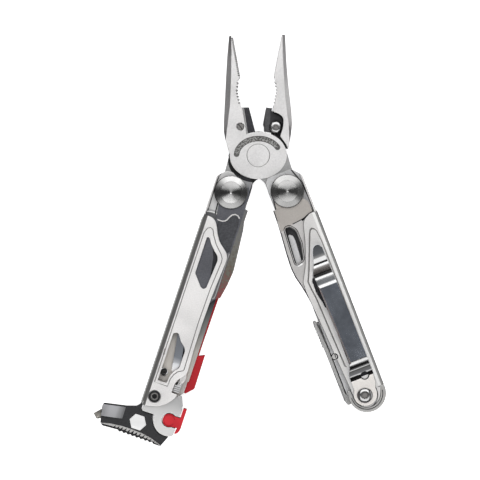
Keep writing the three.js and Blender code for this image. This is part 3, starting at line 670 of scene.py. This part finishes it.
def beside_ring(start, end, widths):
    """A strip of changing width that follows the rim of the disc."""
    angles = list(range(start, end + 1, 6))
    steps = np.linspace(0, 1, len(widths))
    outer = [on_disc(a, np.interp(i / (len(angles) - 1), steps, widths)) for i, a in enumerate(angles)]
    return [*outer, *reversed([on_disc(a, -1) for a in angles])]


right_jaw = carve(
    cad("right_jaw", HEAD),
    # painted shade: black floor and walls beside the disc
    prism(beside_ring(180, 270, (0.5, 1.4, 1.9, 1.9, 1.5)), HALF_TOP - 0.03, 12, 2),
    prism(beside_ring(6, 60, (0.9, 0.9)), HALF_TOP - 0.03, 12, 2),
)
soften(right_jaw, 0.12, lambda p: p.y > 14 or abs(p.x) > 14)
POCKET = [(3, 20.4), (6.7, 20), (6.4, 18.5), (7, 18), (9, 17.2), (10.7, 15.7), (11.1, 13.7), (10.7, 10.8),
          (9.2, 5.9), (1.2, 9)]


def in_pocket(p):
    """Whether a point lies inside the outline of the pocket for the cutter."""
    inside = False
    for (x0, y0), (x1, y1) in zip(POCKET, POCKET[1:] + POCKET[:1]):
        if (y0 > p.y) != (y1 > p.y) and p.x < (x1 - x0) * (p.y - y0) / (y1 - y0) + x0:
            inside = not inside
    return inside


paint(right_jaw, 1, lambda f: mid(f).x < -1 and mid(f).y < 2 and f.normal.z > 0.5)
# The pocket for the cutter and the lower half's flat top are painted black as shade.
paint(right_jaw, 2, lambda f: in_pocket(mid(f)) and mid(f).z > 3.5)
paint(right_jaw, 2, top_faces(HALF_TOP))
piece("right_jaw_finish", right_jaw, HEAD, [JAW, ARM, BLACK], "right_jaw", sharp=28)

left_cutter = carve(
    soften(prism([(-6.15, 19.8), (-3.3, 19.75), (-0.9, 9.25), (-4.7, 8.9)], 6.35, 9.66), 0.15),
    loft([[(-6.9, 20.5, 9.2), (-5.15, 20.5, 9.75), (-5.15, 20.5, 10.5), (-6.9, 20.5, 10.5)],
          [(-5.4, 9, 9.2), (-3.7, 9, 9.75), (-3.7, 9, 10.5), (-5.4, 9, 10.5)]], 1),
)
piece("left_cutter_finish", left_cutter, HEAD, [CUTTER, CUTTER_EDGE], "left_cutter")
right_cutter = carve(
    cad("right_cutter", HEAD),
    # painted shade: the cutter's outer part is black like the pocket round it
    prism([(5.6, 21), (5.0, 8), (12, 8), (12, 21)], 5.8, 7, 1),
    loft([[(1.5, 7, 5.2), (2.9, 7, 6.1), (2.9, 7, 7), (1.5, 7, 7)],
          [(2.2, 21, 5.2), (3.6, 21, 6.1), (3.6, 21, 7), (2.2, 21, 7)]], 2),
)
piece("right_cutter_finish", right_cutter, HEAD, [CUTTER_FLAT, BLACK, CUTTER_EDGE], "right_cutter")

left_screw = turned(*LEFT_SCREW, [
    [0, 3.2], [0.8, 3.2], [0.8, 8.5], [1.4, 8.5], [1.4, 9.5], [1.3, 9.6], [0, 9.62],
], 32)
# The screw's slot is painted dark inside as shade.
slot_cut = sweep([(-0.17, 9.25), (0.17, 9.25), (0.17, 10), (-0.17, 10)], -1.6, 1.6, 1)
slot_cut.transform(Matrix.Translation((*LEFT_SCREW, 0)) @ Matrix.Rotation(math.radians(35), 4, "Z"))
piece("left_cutter_screw_finish", carve(left_screw, slot_cut), HEAD, [LINE, DARK], "left_cutter_screw")
right_screw = turned(*RIGHT_SCREW, [
    [0, 2.9], [0.8, 2.9], [0.8, 6.35], [2.75, 6.35], [2.75, 6.9], [2.62, 7.35], [2.4, 7.62], [2.1, 7.82],
    [1.75, 7.97], [1.5, 8.03], [1.1, 8.06], [0, 8.08],
], 48)
# The hex socket is painted dark grey inside as shade.
right_screw = carve(right_screw, prism(circle(*RIGHT_SCREW, 0.95, 6), 7.3, 9, 1, grow=0.2))
piece("right_cutter_screw_finish", right_screw, HEAD, [DOME, LINE], "right_cutter_screw", sharp=50)
piece("pivot_pin_finish", turned(0, 0, [
    [0, 4.6], [3.25, 4.6], [3.25, 8.6], [4.62, 8.6], [4.62, 9.6], [4.55, 9.7], [4.45, 9.72], [0, 9.72],
], 72), HEAD, [JAW], "pivot_pin")
plain("pivot_nut", HEAD)


# ---------- handle pivots, and heights of both handles ----------
MID_TOP = 10.9
FRONT_LOW = 11.03          # the ledges added to both front frames start here
FRONT_TOP = 14.6
LINE_WIDTH = 0.36          # the fine lines engraved in both front frames
LINE_FLOOR = FRONT_TOP - 0.3
OUTLINE_FLOOR = FRONT_TOP - 0.22
DOME_RADIUS = 6.85
DOME_INNER = 4.45          # the radius where the ring ends and the cap begins
RING_START, RING_LOW, RING_SLOPE = 6.55, 14.33, 0.40
CAP_TOP, CAP_CURVE = 15.82, 17.0


def dome_profile():
    """The bolt's outline: shank, rim, a conical ring, and a flatter round cap with a point in its middle."""
    profile = [[0, 2.0], [2.6, 2.0], [2.7, 2.1], [2.7, 13.5], [6.7, 13.5]]
    profile += [[DOME_RADIUS, 13.65], [DOME_RADIUS, 14.0], [6.78, 14.18], [6.6, 14.3]]
    radius = RING_START
    while radius > DOME_INNER + 0.1:
        profile.append([radius, RING_LOW + RING_SLOPE * (RING_START - radius)])
        radius -= 0.1
    profile += [[DOME_INNER, 15.17], [DOME_INNER - 0.14, 15.27]]
    radius = DOME_INNER - 0.25
    while radius > 0.45:
        fall = CAP_CURVE - math.sqrt(CAP_CURVE**2 - radius**2)
        profile.append([radius, CAP_TOP - fall])
        radius -= 0.1
    return profile + [[0.35, 15.72], [0.2, 15.7], [0, 15.78]]


for side, place in (("left", LEFT), ("right", RIGHT)):
    dome = turned(0, 0, dome_profile(), 128)
    paint(dome, 1, lambda f: mid(f).xy.length > DOME_INNER)
    bolt = f"{side}_pivot_bolt"
    piece(f"{bolt}_finish", dome, place, TURNED[side], bolt, sharp=50, weighted=False)
    socket_nut(f"{side}_pivot_nut", place, 0.2, circle(0, 0, 2.3, 6), 0.7)
    plain(f"{side}_pivot_washer", place, 0.08)


# ---------- left handle ----------
LEFT_END = (-3.4, -88.8)


def in_left(bm):
    """A mesh made in the head's frame, in the left handle's frame."""
    bm.transform(LEFT.inverted() @ HEAD)
    return bm


left_channel = carve(
    soften(cad("left_channel", LEFT), 0.15),
    # the hollow below the eye, painted slate grey as shade
    prism([
        (-7.2, -10.7), (-5.5, -10.4), (-4, -10.35), (-2.7, -10.6), (-1.8, -11.3), (-1.8, -15), (-7.2, -15),
    ], 10.4, 12, 4),
    # a painted highlight on a lip over that hollow, lines of painted shade round the eye, and painted shade
    # in the gap beside the plier disc
    groove([(-6.9, -10.35), (-5.3, -9.95), (-4, -9.9), (-2.7, -10.15)], 0.32, 10.7, 12, 3),
    groove([(-6.2, 5.9), (-6.75, 4.6), (-6.8, -1), (-6.65, -10.1)], 0.34, 10.5, 12, 2),
    groove([(-3.75, -5.2), (-3.55, -8.8), (-2.95, -12.4)], 0.5, 10.4, 12, 2),
    groove([(7.3, 5.9), (7.35, 1), (7.3, -1.5)], 0.55, 10.4, 12, 2),
    in_left(prism(beside_ring(205, 270, (1.0, 1.7, 1.7, 1.4)), 10.3, 12, 2)),
)
# A narrow fin runs along part of the channel's right side.
fin = prism([(6.5, -43.3), (7.95, -43.3), (7.95, -79), (6.5, -79)], 9.5, MID_TOP)
left_channel = carve(left_channel, fin, operation="UNION")
# The bright eye round the pivot and the inside, whose grey along v is painted light and shade, share one flat
# face, so it is split between them.
bmesh.ops.bisect_plane(
    left_channel, geom=[*left_channel.verts, *left_channel.edges, *left_channel.faces],
    plane_co=(0, -9, 0), plane_no=(0, 1, 0),
)
paint(left_channel, 1, top_faces(MID_TOP, lambda p: p.y < -9))
paint(left_channel, 5, top_faces(MID_TOP, lambda p: p.y > -9))
piece("left_channel_finish", left_channel, LEFT, [SATIN, LINER, DARK, LIP, SLATE, EYE], "left_channel",
      sharp=28)

RECESS = [
    (-1.5, -12.5), (-0.6, -12.55), (0.5, -12.45), (1.5, -12.05), (2.2, -11.3), (2.75, -10), (3.5, -8.8),
    (4.5, -8.25), (5.6, -8.4), (6.5, -9.2), (7, -10.4), (7.2, -12.5), (7.2, -43), (5.2, -45), (3.6, -40),
    (3, -33), (1, -24), (-0.9, -16),
]
# The spine slopes down to the side, and the eye is the blade's round root beside the bolt's dome.
spine = [[(7.35, v, 13.4), (12, v, 12.2), (12, v, 14), (7.35, v, 14)] for v in (-3, -46)]
saw_eye = prism([(5.0, -6.0), *circle(0, 0, 7.5, 18, -50, 34), (6.0, 4.2), (5, -3)], 11.6, 13.28)
saw = carve(
    soften(cad("saw", LEFT), 0.12),
    # the recess, and a line of painted shade beside it
    prism(RECESS, 13.08, 13.4, 1, grow=0.65),
    groove([(-3.45, -5.5), (-3.3, -9), (-2.9, -12.6)], 0.55, 12.8, 14, 4),
    # the spine's slope, painted with a reflection of the red whistle
    loft(spine, 3),
    # the blade's end: its slope, its light flat and the slot in it, painted dark as shade
    loft([[(-1.4, -73.2, 13.32), (3, -73.2, 13.32), (3, -73.2, 14), (-1.4, -73.2, 14)],
          [(-1.4, -78, 12.5), (3, -78, 12.5), (3, -78, 14), (-1.4, -78, 14)]], 7),
    prism([(-3.5, -62), (4, -62), (4, -73), (-3.5, -73)], 13.2, 14, 7),
    prism([(1.5, -66.1), (2.9, -67), (2.9, -70.6), (2.2, -70.2), (1.9, -68)], 12.3, 14, 4),
    # painted shade in the recess's darkest part, and the slate flat along the spine with a painted highlight
    # along its edge
    prism([
        (-0.8, -21.5), (0.1, -24), (1.6, -27.8), (2.35, -31.9), (2.7, -34.5), (5, -36), (5.4, -27),
        (3, -21.5),
    ], 13.0, 14, 4),
    prism([(5.9, -24.5), (7.35, -23), (7.35, -43.4), (5.9, -44)], 13.02, 14, 5),
    groove([(7.25, -24), (7.25, -41.9), (7.0, -43.1), (6.4, -43.6)], 0.34, 13.0, 14, 6),
)
saw = merge([saw, saw_eye])


def bright_rim(face):
    """The part of the recess's sloping rim next to the pivot, painted light as a highlight where it catches
    the light.
    """
    middle = mid(face)
    return (face.material_index == 1 and face.normal.z < 0.99 and middle.y > -13.4
            and not (middle.x > 5.9 and middle.y < -9.7))


paint(saw, 2, bright_rim)
# The blade's end is lighter on its spine's side.
paint(saw, 7, lambda f: f.material_index == 0 and mid(f).y < -60 and mid(f).x > 0.6)
paint(saw, 0, lambda f: f.material_index == 1 and f.normal.z < 0.99)
piece("saw_finish", saw, LEFT, [TANG, SAW, SATIN, SPINE, DARK, SLATE, ROLLED, SAW_TIP], "saw", sharp=28)

lock_tab = soften(prism([
    (4.15, -77.6), (4.5, -76.4, 0.4), (5.4, -75.7, 0.4), (6.4, -76.1, 0.4), (6.7, -77.6), (6.2, -79.6),
    (5.3, -81.0, 0.3), (4.5, -81.3, 0.4), (4.15, -79.8),
], 12.9, 14.2), 0.4)
grip_lines = [
    prism([(2.8, v - 0.1), (6.4, v - 0.1), (6.4, v + 0.1), (2.8, v + 0.1)], 11.25, 14)
    for v in (-82.3, -83.1, -83.9)
]
saw_lock = carve(
    cad("saw_lock", LEFT),
    # a slot beside the tab, painted black inside as shade
    prism([(3, -77.5), (4.0, -77.3), (4.0, -81.6), (3, -81.6)], 11.2, 14, 2),
    *grip_lines,
)
# The lock's flat top takes the liner's painted light and shade along v.
paint(saw_lock, 1, top_faces(11.4))
piece("saw_lock_finish", saw_lock, LEFT, [FROSTED, LINER, PIT], "saw_lock")
piece("saw_lock_tab", lock_tab, LEFT, [WORN], body="saw_lock")
plain("saw_lock_pin", LEFT, 0.08)
plain("saw_stop_pin", LEFT, 0.1, PIT)

LEFT_ROLL = [
    (-9, 15), (-9, 12.9), (-8.05, 12.95), (-7.55, 13.0), (-7.45, 13.1), (-6.95, 13.65), (-6.5, 14.1),
    (-6.2, 14.35), (-5.95, 14.6), (-5.95, 15),
]
LEFT_LINE = [
    (-5.25, -83.2), (-5.25, -19), (-4.5, -16.9), (-3.4, -16.2), (-2.2, -16.7), (-1.2, -18.8), (1, -22.1),
    (4.1, -25.2), (5.1, -26.8), (5.3, -28.2), (4.4, -40), (4.1, -55), (4.6, -74.7), (4.4, -75.2),
    (2.5, -76.2), (1.2, -78), (0.5, -80), (0.3, -83.2),
]
left_ledge = prism([(-8.05, -13.5), (-7, -12.2), (-7, -93.2), (-8.05, -92.4)], FRONT_LOW, 13.3)
left_front = carve(soften(cad("left_front_frame", LEFT), 0.12), left_ledge, operation="UNION")
left_front = carve(
    left_front,
    sweep(LEFT_ROLL, -93.8, -11.9, 2),
    groove(LEFT_LINE, LINE_WIDTH, OUTLINE_FLOOR, FRONT_TOP + 1, closed=True),
    # a small mark on the engraved outline
    prism([(-5.7, -68.9, 0.2), (-5.1, -69, 0.2), (-4.9, -71.4, 0.2), (-5.5, -71.5, 0.2)],
          FRONT_TOP - 0.12, 15, 1),
)
paint(left_front, 3, lambda f: f.material_index == 2 and f.normal.z > 0.98)
piece("left_front_frame_finish", left_front, LEFT, [BRIGHT, LINE, ROLLED, LEVER], "left_front_frame",
      sharp=28)

# The hook's grey carries painted shadow next to the frame.
plain("hook", LEFT, 0.2, HOOK)
plain("sharpener_rod", LEFT, 0.1)
plain("ferro_rod", LEFT, 0.15, FIRE)
holder = carve(cad("sharpener_holder", LEFT), groove(circle(5.3, -96.2, 2.2, 32, 20, 340), 0.3, 12.85, 14, 1))
piece("sharpener_holder_finish", holder, LEFT, [KNOB, RED], "sharpener_holder")
plain("whistle", LEFT, 0.2, RED)
socket_nut("left_end_nut", LEFT, 0.15, circle(*LEFT_END, 1.4, 6), 0.6)
end_screw = turned(*LEFT_END, [
    [0, 2], [1.6, 2], [1.6, 13.5], [2.35, 13.5], [2.35, 14.5], [2.2, 14.72], [1.8, 14.72], [1.55, 14.4],
    [1.5, 14.1], [0, 14.0],
], 48)
# The hex socket is painted near black inside as shade.
end_screw = carve(end_screw, prism(circle(*LEFT_END, 1.15, 6), 12.4, 15, 1))
paint(end_screw, 2, lambda f: 0.3 < f.normal.z < 0.999 and f.material_index == 0)
piece("left_end_screw_finish", end_screw, LEFT, [DARK, PIT, LINE], "left_end_screw")

# The hammer's ground edge is a shallow arc. Leaning notches run up into it, and below it the face steps down.
HAMMER_TOP = 12.4
ARC = [
    (-20.9, -105.95), (-17, -105.05), (-12.5, -104.55), (-8, -104.5), (-3.5, -104.8), (1, -105.6),
    (5, -107.0),
]
NOTCH_START, NOTCH_PITCH, NOTCHES = -15.2, 1.55, 13


def notch(u):
    """A wedge that widens, deepens and leans as it runs from the arc to the ledge."""
    v = float(np.interp(u, [p[0] for p in ARC], [p[1] for p in ARC]))
    stages = ((0.08, v - 0.3, 12.05, 0.5), (0.14, v - 1.3, 11.3, -0.1), (0.42, v - 1.75, 10.6, -0.35),
              (0.42, -108.6, 10.0, -0.5))
    return hull([
        (u + lean + x, y, z)
        for half, y, low, lean in stages for x in (-half, half) for z in (low, 13)
    ])


bevel = loft([
    [(u, v, HAMMER_TOP), (u, v - 3.5, HAMMER_TOP - 1.9), (u, v - 3.5, HAMMER_TOP + 1), (u, v, HAMMER_TOP + 1)]
    for u, v in ARC
], 2)
boss_scoop = sweep([
    (-15.0, 13.21), (-14.0, 13.12), (-13.0, 12.95), (-12, 12.8), (-11.2, 12.6), (-10.4, 12.46),
    (-10.2, 12.42), (-10.2, 14), (-15.0, 14),
], -94, -103, 1)
# Beyond the ground edge the hammer steps down to a black ledge.
ledge_cut = prism([
    (-22.5, -106.1), (-19, -106.05), (-13, -105.75), (-8, -106.0), (-3, -106.15), (1, -106.5), (4, -107.05),
    (6, -107.6), (6, -110), (-22, -110),
], HAMMER_TOP - 3, 14)
hammer = carve(
    cad("hammer_head", LEFT), boss_scoop, bevel, ledge_cut,
    *[notch(NOTCH_START + NOTCH_PITCH * i) for i in range(NOTCHES)],
)
soften(hammer, 0.2, lambda p: p.z < 5)
paint(hammer, 1, top_faces(13.2))
paint(hammer, 1, lambda f: mid(f).z > 12.9 and mid(f).x < -12.9)
piece("hammer_head_finish", hammer, LEFT, [BLACK, BOSS, WORN], "hammer_head", sharp=26)

tip_low, tip_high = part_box("carbide_tip")
tip_height = (tip_low.z + tip_high.z) / 2 / MM
# A point, and two hexagons that lean with the end face of the hammer.
tip_points = [(-25.0, -103.4, tip_height)]
for u, v, radius in ((-22.7, -102.9, 2.4), (-21, -102.6, 1.8)):
    for across, up in circle(0, 0, radius, 6, 15, 375):
        tip_points.append((u + 0.17 * across, v + across, tip_height + up))
piece("carbide_tip_finish", hull(tip_points), LEFT, [CARBIDE], "carbide_tip", sharp=20)


# ---------- right handle ----------
RIGHT_END = (-0.45, -89)
CAP_CENTRE = (0.6, -88.6)
right_channel = carve(
    soften(cad("right_channel", RIGHT), 0.15),
    # painted shade: black inside the handle under the thumb hole, and a black line along the channel's side
    prism([
        (-7.7, -13.2), (-4, -13.2), (-1.4, -16), (-1.8, -22), (-3.4, -30), (-4.9, -30), (-4.2, -20),
        (-4.4, -17.9), (-5.5, -17.0), (-6.3, -17.2), (-6.6, -17.6),
    ], 10.3, 12, 1),
    groove([(4.6, 7.6), (5.5, 5), (6.8, 1), (7.3, -6), (7.4, -11.7)], 0.6, 10.3, 12, 1),
)
paint(right_channel, 2, lambda f: f.material_index == 0 and f.normal.z > 0.9)
piece("right_channel_finish", right_channel, RIGHT, [SATIN, BLACK, FROSTED], "right_channel", sharp=28)

THUMB = [
    (-6.1, -14.3, 0.8), (-4.7, -14.1, 0.8), (-2.9, -16.3, 1), (-2.9, -22), (-4.3, -28.2, 0.8),
    (-7.1, -28.9, 0.6),
]
SEAM = [
    (-2.9, -13.4), (-0.5, -13.15), (1.2, -12.95), (2.55, -12.7), (3.7, -12.2), (4.9, -11.75), (7.2, -11.4),
]
tang = prism([(-12, 8), (-12, -15.5), (-2.9, -13.4), *SEAM[1:], (9, 8)], 13.26, 14, 4)
knife = carve(
    cad("knife", RIGHT),
    # the thumb hole, its chamfer, a line round it and the lip below it, painted as a highlight
    prism(THUMB, 11, 14, 1),
    prism(THUMB, 12.7, 13.5, 1, grow=0.75),
    groove(offset(THUMB, 0.95), 0.32, 13.05, 14, 2, closed=True),
    prism([(-7.4, -29.5, 0.4), (-4.9, -29.4, 0.4), (-4.9, -30.3, 0.5), (-6.9, -30.5, 0.5)],
          13.1, 14, 3, grow=0.1),
    # the tang, the dark line along its side, and its seam with the blade
    tang,
    groove([(5.0, 5.6), (6.4, 2), (6.75, -6), (6.9, -11.6)], 0.5, 12.4, 14, 2),
    groove(SEAM, 0.4, 12.9, 14, 2),
    prism([(0.9, -13.05), (3.9, -12.2), (4.4, -12.6), (1.5, -13.7)], 12.2, 14, 2),
)
soften(knife, 0.45, lambda p: p.z > 12 and (
    (p.x < -7.35 + 0.11 * (min(p.y, 0) + 14) and p.y > -36) or (p.x < -5 and -54 < p.y < -31)))
# The blade's outer slope is painted dark as shade, and so is one side of the hole's chamfer; its other, lit
# side is painted grey.
paint(knife, 2, lambda f: f.material_index == 0 and 0.05 < f.normal.z < 0.95 and f.normal.x < -0.2)
paint(knife, 2, lambda f: f.material_index == 1 and f.normal.x > 0.3 and f.normal.z > 0.2)
paint(knife, 5, lambda f: f.material_index == 1 and f.normal.x < -0.1 and f.normal.z > 0.2)
piece("knife_finish", knife, RIGHT, [KNIFE, SATIN, DARK, LIP, KNIFE_TANG, LEVER], "knife", sharp=28)

RIGHT_ROLL = [
    (8.9, 15), (8.9, 12.9), (8.45, 13.2), (8.3, 13.55), (7.9, 14.0), (7.35, 14.4), (7.25, 14.44),
    (6.15, 14.6), (6.1, 15),
]
RIGHT_LINE = [
    (-3.1, -75.6), (-3.75, -75), (-4.8, -45), (-5.4, -40), (-5.5, -37.6), (-3.6, -33.6), (0.4, -23.8),
    (2.2, -19.4), (2.8, -18.3), (3.7, -17.8), (4.6, -18.2), (5.3, -19.4), (5.75, -24), (5.75, -80),
]
right_ledge = prism([(7.0, -12.6), (8.45, -13.4), (8.45, -88), (7.0, -88)], FRONT_LOW, 14.55)
right_front = carve(cad("right_front_frame", RIGHT), right_ledge, operation="UNION")
right_front = carve(
    right_front,
    sweep(RIGHT_ROLL, -88, -11.9, 2),
    groove(RIGHT_LINE, LINE_WIDTH, OUTLINE_FLOOR, FRONT_TOP + 1),
    # painted shade in a wedge beside the clip
    prism([(-3.75, -38.6), (-2.7, -40.2), (-1.9, -49.6), (-2.6, -48.6), (-3.9, -43.4)],
          FRONT_TOP - 1.2, 16, 4),
    # the step down beside the lever, with its seam and a small arc
    prism([(-9, -54.5), (-7.25, -55.5), (-7.1, -84), (-9, -84)], FRONT_TOP - 0.6, 16, 5),
    groove([(-7.0, -53.5), (-7.15, -58), (-7.0, -84)], 0.35, FRONT_TOP - 0.9, 16, 4),
    groove(circle(-6.3, -70, 1.15, 20, -170, 60), 0.3, LINE_FLOOR, 16, 4),
    # the line round the clip screw, and a half-moon of painted shadow with its ring under the clip's notch
    groove([(-5.75, -84.8), *circle(*RIGHT_END, 5.3, 24, 180, 360), (4.85, -81)],
           LINE_WIDTH, LINE_FLOOR, 16, 4),
    prism([(0.6, -81.5), *reversed(circle(2.4, -81.4, 1.85, 14, 0, 180)), (4.2, -81.5)],
          FRONT_TOP - 0.6, 16, 4),
    groove(circle(2.4, -81.35, 1.62, 16, 180, 360), 0.34, LINE_FLOOR, 16, 4),
    # the seam to the end cap, and the shadow line along the clip
    groove([(5.7, -87.7), (8.7, -88)], 0.3, 13, 16, 4),
    groove([(-2.35, -41), (-1.7, -62), (-1.75, -76)], 0.3, LINE_FLOOR, 16, 4),
)
# Rims by the roll and under the clip stay sharp: the cuts there are closer together than a bevel is wide.
soften(right_front, 0.16, lambda p: p.x < 4.6 and p.z > 14 and not (p.x > -3.3 and p.y < -37))
# The roll's flat faces are painted as a highlight strip.
paint(right_front, 3, lambda f: f.material_index == 2 and f.normal.z > 0.9)
# Its sloping rims, except those facing right, are painted dark as shade, outlining the frame.
paint(right_front, 4, lambda f: f.material_index == 0 and 0.05 < f.normal.z < 0.95 and f.normal.x < 0.2)
# A thin plate behind the window, painted dark, stands for the shade inside the handle.
behind_window = prism([(-4.4, -37), (-0.5, -37), (-0.5, -52.5), (-2.6, -52.5)], 13.45, 13.6, 4)
piece("right_front_frame_finish", merge([right_front, behind_window]), RIGHT,
      [SATIN, LINE, ROLLED, STRIP, DARK, LEVER], "right_front_frame", sharp=28)

clip = soften(cad("pocket_clip", RIGHT), 0.1, lambda p: p.y < -81.6)
# The [out, z] section of what the bevel takes off along the clip's left edge.
CLIP_EDGE = [(-1.2, 14.5), (-1.2, 20), (0.75, 20), (0.75, 18.9), (0.1, 18.1), (-0.2, 14.5)]
left_bevel = loft([
    [(u + out, v, z) for out, z in CLIP_EDGE]
    for u, v in ((-2.4, -38), (-2.4, -42), (-1.75, -75))
], 2)
# The bevel's faces are painted near white as a highlight.
clip = carve(clip, left_bevel)
# The bent tip and heel are painted with bands of highlight and shade for their bends, and the foot under the
# screw is satin.
paint(clip, 3, lambda f: f.material_index == 0 and mid(f).y > -42.15 and f.normal.z > 0.3)
paint(clip, 4, lambda f: f.material_index == 0 and mid(f).y < -74.25 and f.normal.z > 0.3)
paint(clip, 1, lambda f: mid(f).y < -81.2 and f.normal.z > 0.99)
piece("pocket_clip_finish", clip, RIGHT, [CLIP, BASE, LIP, CLIP_TIP, CLIP_HEEL], "pocket_clip", sharp=30)

clip_screw = turned(*RIGHT_END, [
    [0, 2], [2, 2], [2, 15.85], [3.25, 15.85], [3.25, 16.0], [3.12, 16.4], [2.92, 16.7], [2.62, 16.96],
    [2.3, 17.14], [2.0, 17.25], [1.7, 17.31], [0, 17.36],
], 56)
# The hex socket is painted dark grey inside as shade.
clip_screw = carve(clip_screw, prism(circle(*RIGHT_END, 1.25, 6), 16.6, 18, 1, grow=0.3))
piece("clip_screw_finish", clip_screw, RIGHT, [DOME, LINE], "clip_screw", sharp=40)
socket_nut("right_end_nut", RIGHT, 0.15, circle(*RIGHT_END, 1.7, 6), 0.6)

end_cap = carve(
    cad("end_cap", RIGHT),
    groove(circle(*CAP_CENTRE, 6.5, 40, 176, 352), LINE_WIDTH, LINE_FLOOR, 16),
)
soften(end_cap, 0.3, lambda p: p.z > 13 and (p.xy - Vector(CAP_CENTRE)).length > 7.2)
piece("end_cap_finish", end_cap, RIGHT, [ROLLED, DARK], "end_cap", sharp=28)
lever_tail = soften(prism([
    (-8.55, -86), (-6.4, -86), (-6.4, -89.7), (-6.8, -90.6, 0.4), (-8.2, -90.6, 0.5), (-8.75, -89.4),
], 3.4, 9.5), 0.3)
lever = merge([soften(cad("lock_lever", RIGHT), 0.3), lever_tail])
piece("lock_lever_finish", lever, RIGHT, [LEVER], "lock_lever")
plain("lever_pin", RIGHT, 0.15)
plain("end_spacer", RIGHT, 0.08)
for name in ("bit_driver", "awl", "can_opener"):
    plain(name, RIGHT, 0.12)
plain("screwdriver_bit", RIGHT, 0.2, DARK)


# ---------- room, light and camera ----------
floor_mesh = bpy.data.meshes.new("floor")
floor_mesh.from_pydata([(-4, -4, 0), (4, -4, 0), (4, 4, 0), (-4, 4, 0)], [], [(0, 1, 2, 3)])
floor = bpy.data.objects.new("floor", floor_mesh)
floor.location.z = -0.5 * MM
bpy.context.scene.collection.objects.link(floor)
pale = Nodes("pale_floor")
pale.drive("Base Color", pale.ramp(pale.noise(3, 2), [(0.3, 0.86), (0.7, 0.9)]))
pale.shader.inputs["Roughness"].default_value = 0.9
pale.shader.inputs["Emission Color"].default_value = (1, 1, 1, 1)
pale.shader.inputs["Emission Strength"].default_value = 0.75
floor_mesh.materials.append(pale.material)
floor.visible_glossy = False
floor.visible_diffuse = False

LIGHT_DISTANCE = 1.2


def softbox(name, azimuth, zenith, width, height, radiance):
    """A soft panel that faces the tool, as bright at any size. Azimuth 90 is towards the jaw tips."""
    light = bpy.data.lights.new(name, "AREA")
    light.shape = "RECTANGLE"
    light.size, light.size_y = width, height
    light.energy = radiance * width * height * math.pi
    obj = bpy.data.objects.new(name, light)
    a, z = math.radians(azimuth), math.radians(zenith)
    way = Vector((math.cos(a) * math.sin(z), math.sin(a) * math.sin(z), math.cos(z)))
    obj.location = way * LIGHT_DISTANCE
    obj.rotation_euler = way.to_track_quat("Z", "Y").to_euler()
    obj.visible_camera = False
    bpy.context.scene.collection.objects.link(obj)


softbox("north_box", 90, 34, 1.6, 0.95, 2.8)
softbox("south_box", -90, 34, 1.6, 0.95, 1.95)
softbox("east_box", 0, 78, 1.4, 0.7, 0.85)
softbox("west_box", 180, 84, 1.2, 0.35, 0.3)

world = bpy.data.worlds.new("room")
world.use_nodes = True
world.node_tree.nodes["Background"].inputs["Color"].default_value = (0.112, 0.112, 0.114, 1)
bpy.context.scene.world = world
bpy.context.scene.view_settings.view_transform = "Standard"

LENS, SENSOR = 300.0, 36.0
FRAME_WIDTH = 0.19584      # metres across the picture, at height AIM_Z
AIM_X, AIM_Y, AIM_Z = 1.43, -0.11, 13
CAMERA_TURN = math.radians(-1.35)
camera = bpy.data.cameras.new("camera")
camera.lens, camera.sensor_width = LENS, SENSOR
camera_object = bpy.data.objects.new("camera", camera)
camera_object.location = (AIM_X * MM, AIM_Y * MM, FRAME_WIDTH * LENS / SENSOR + AIM_Z * MM)
camera_object.rotation_euler = (0, 0, CAMERA_TURN)
bpy.context.scene.collection.objects.link(camera_object)
bpy.context.scene.camera = camera_object
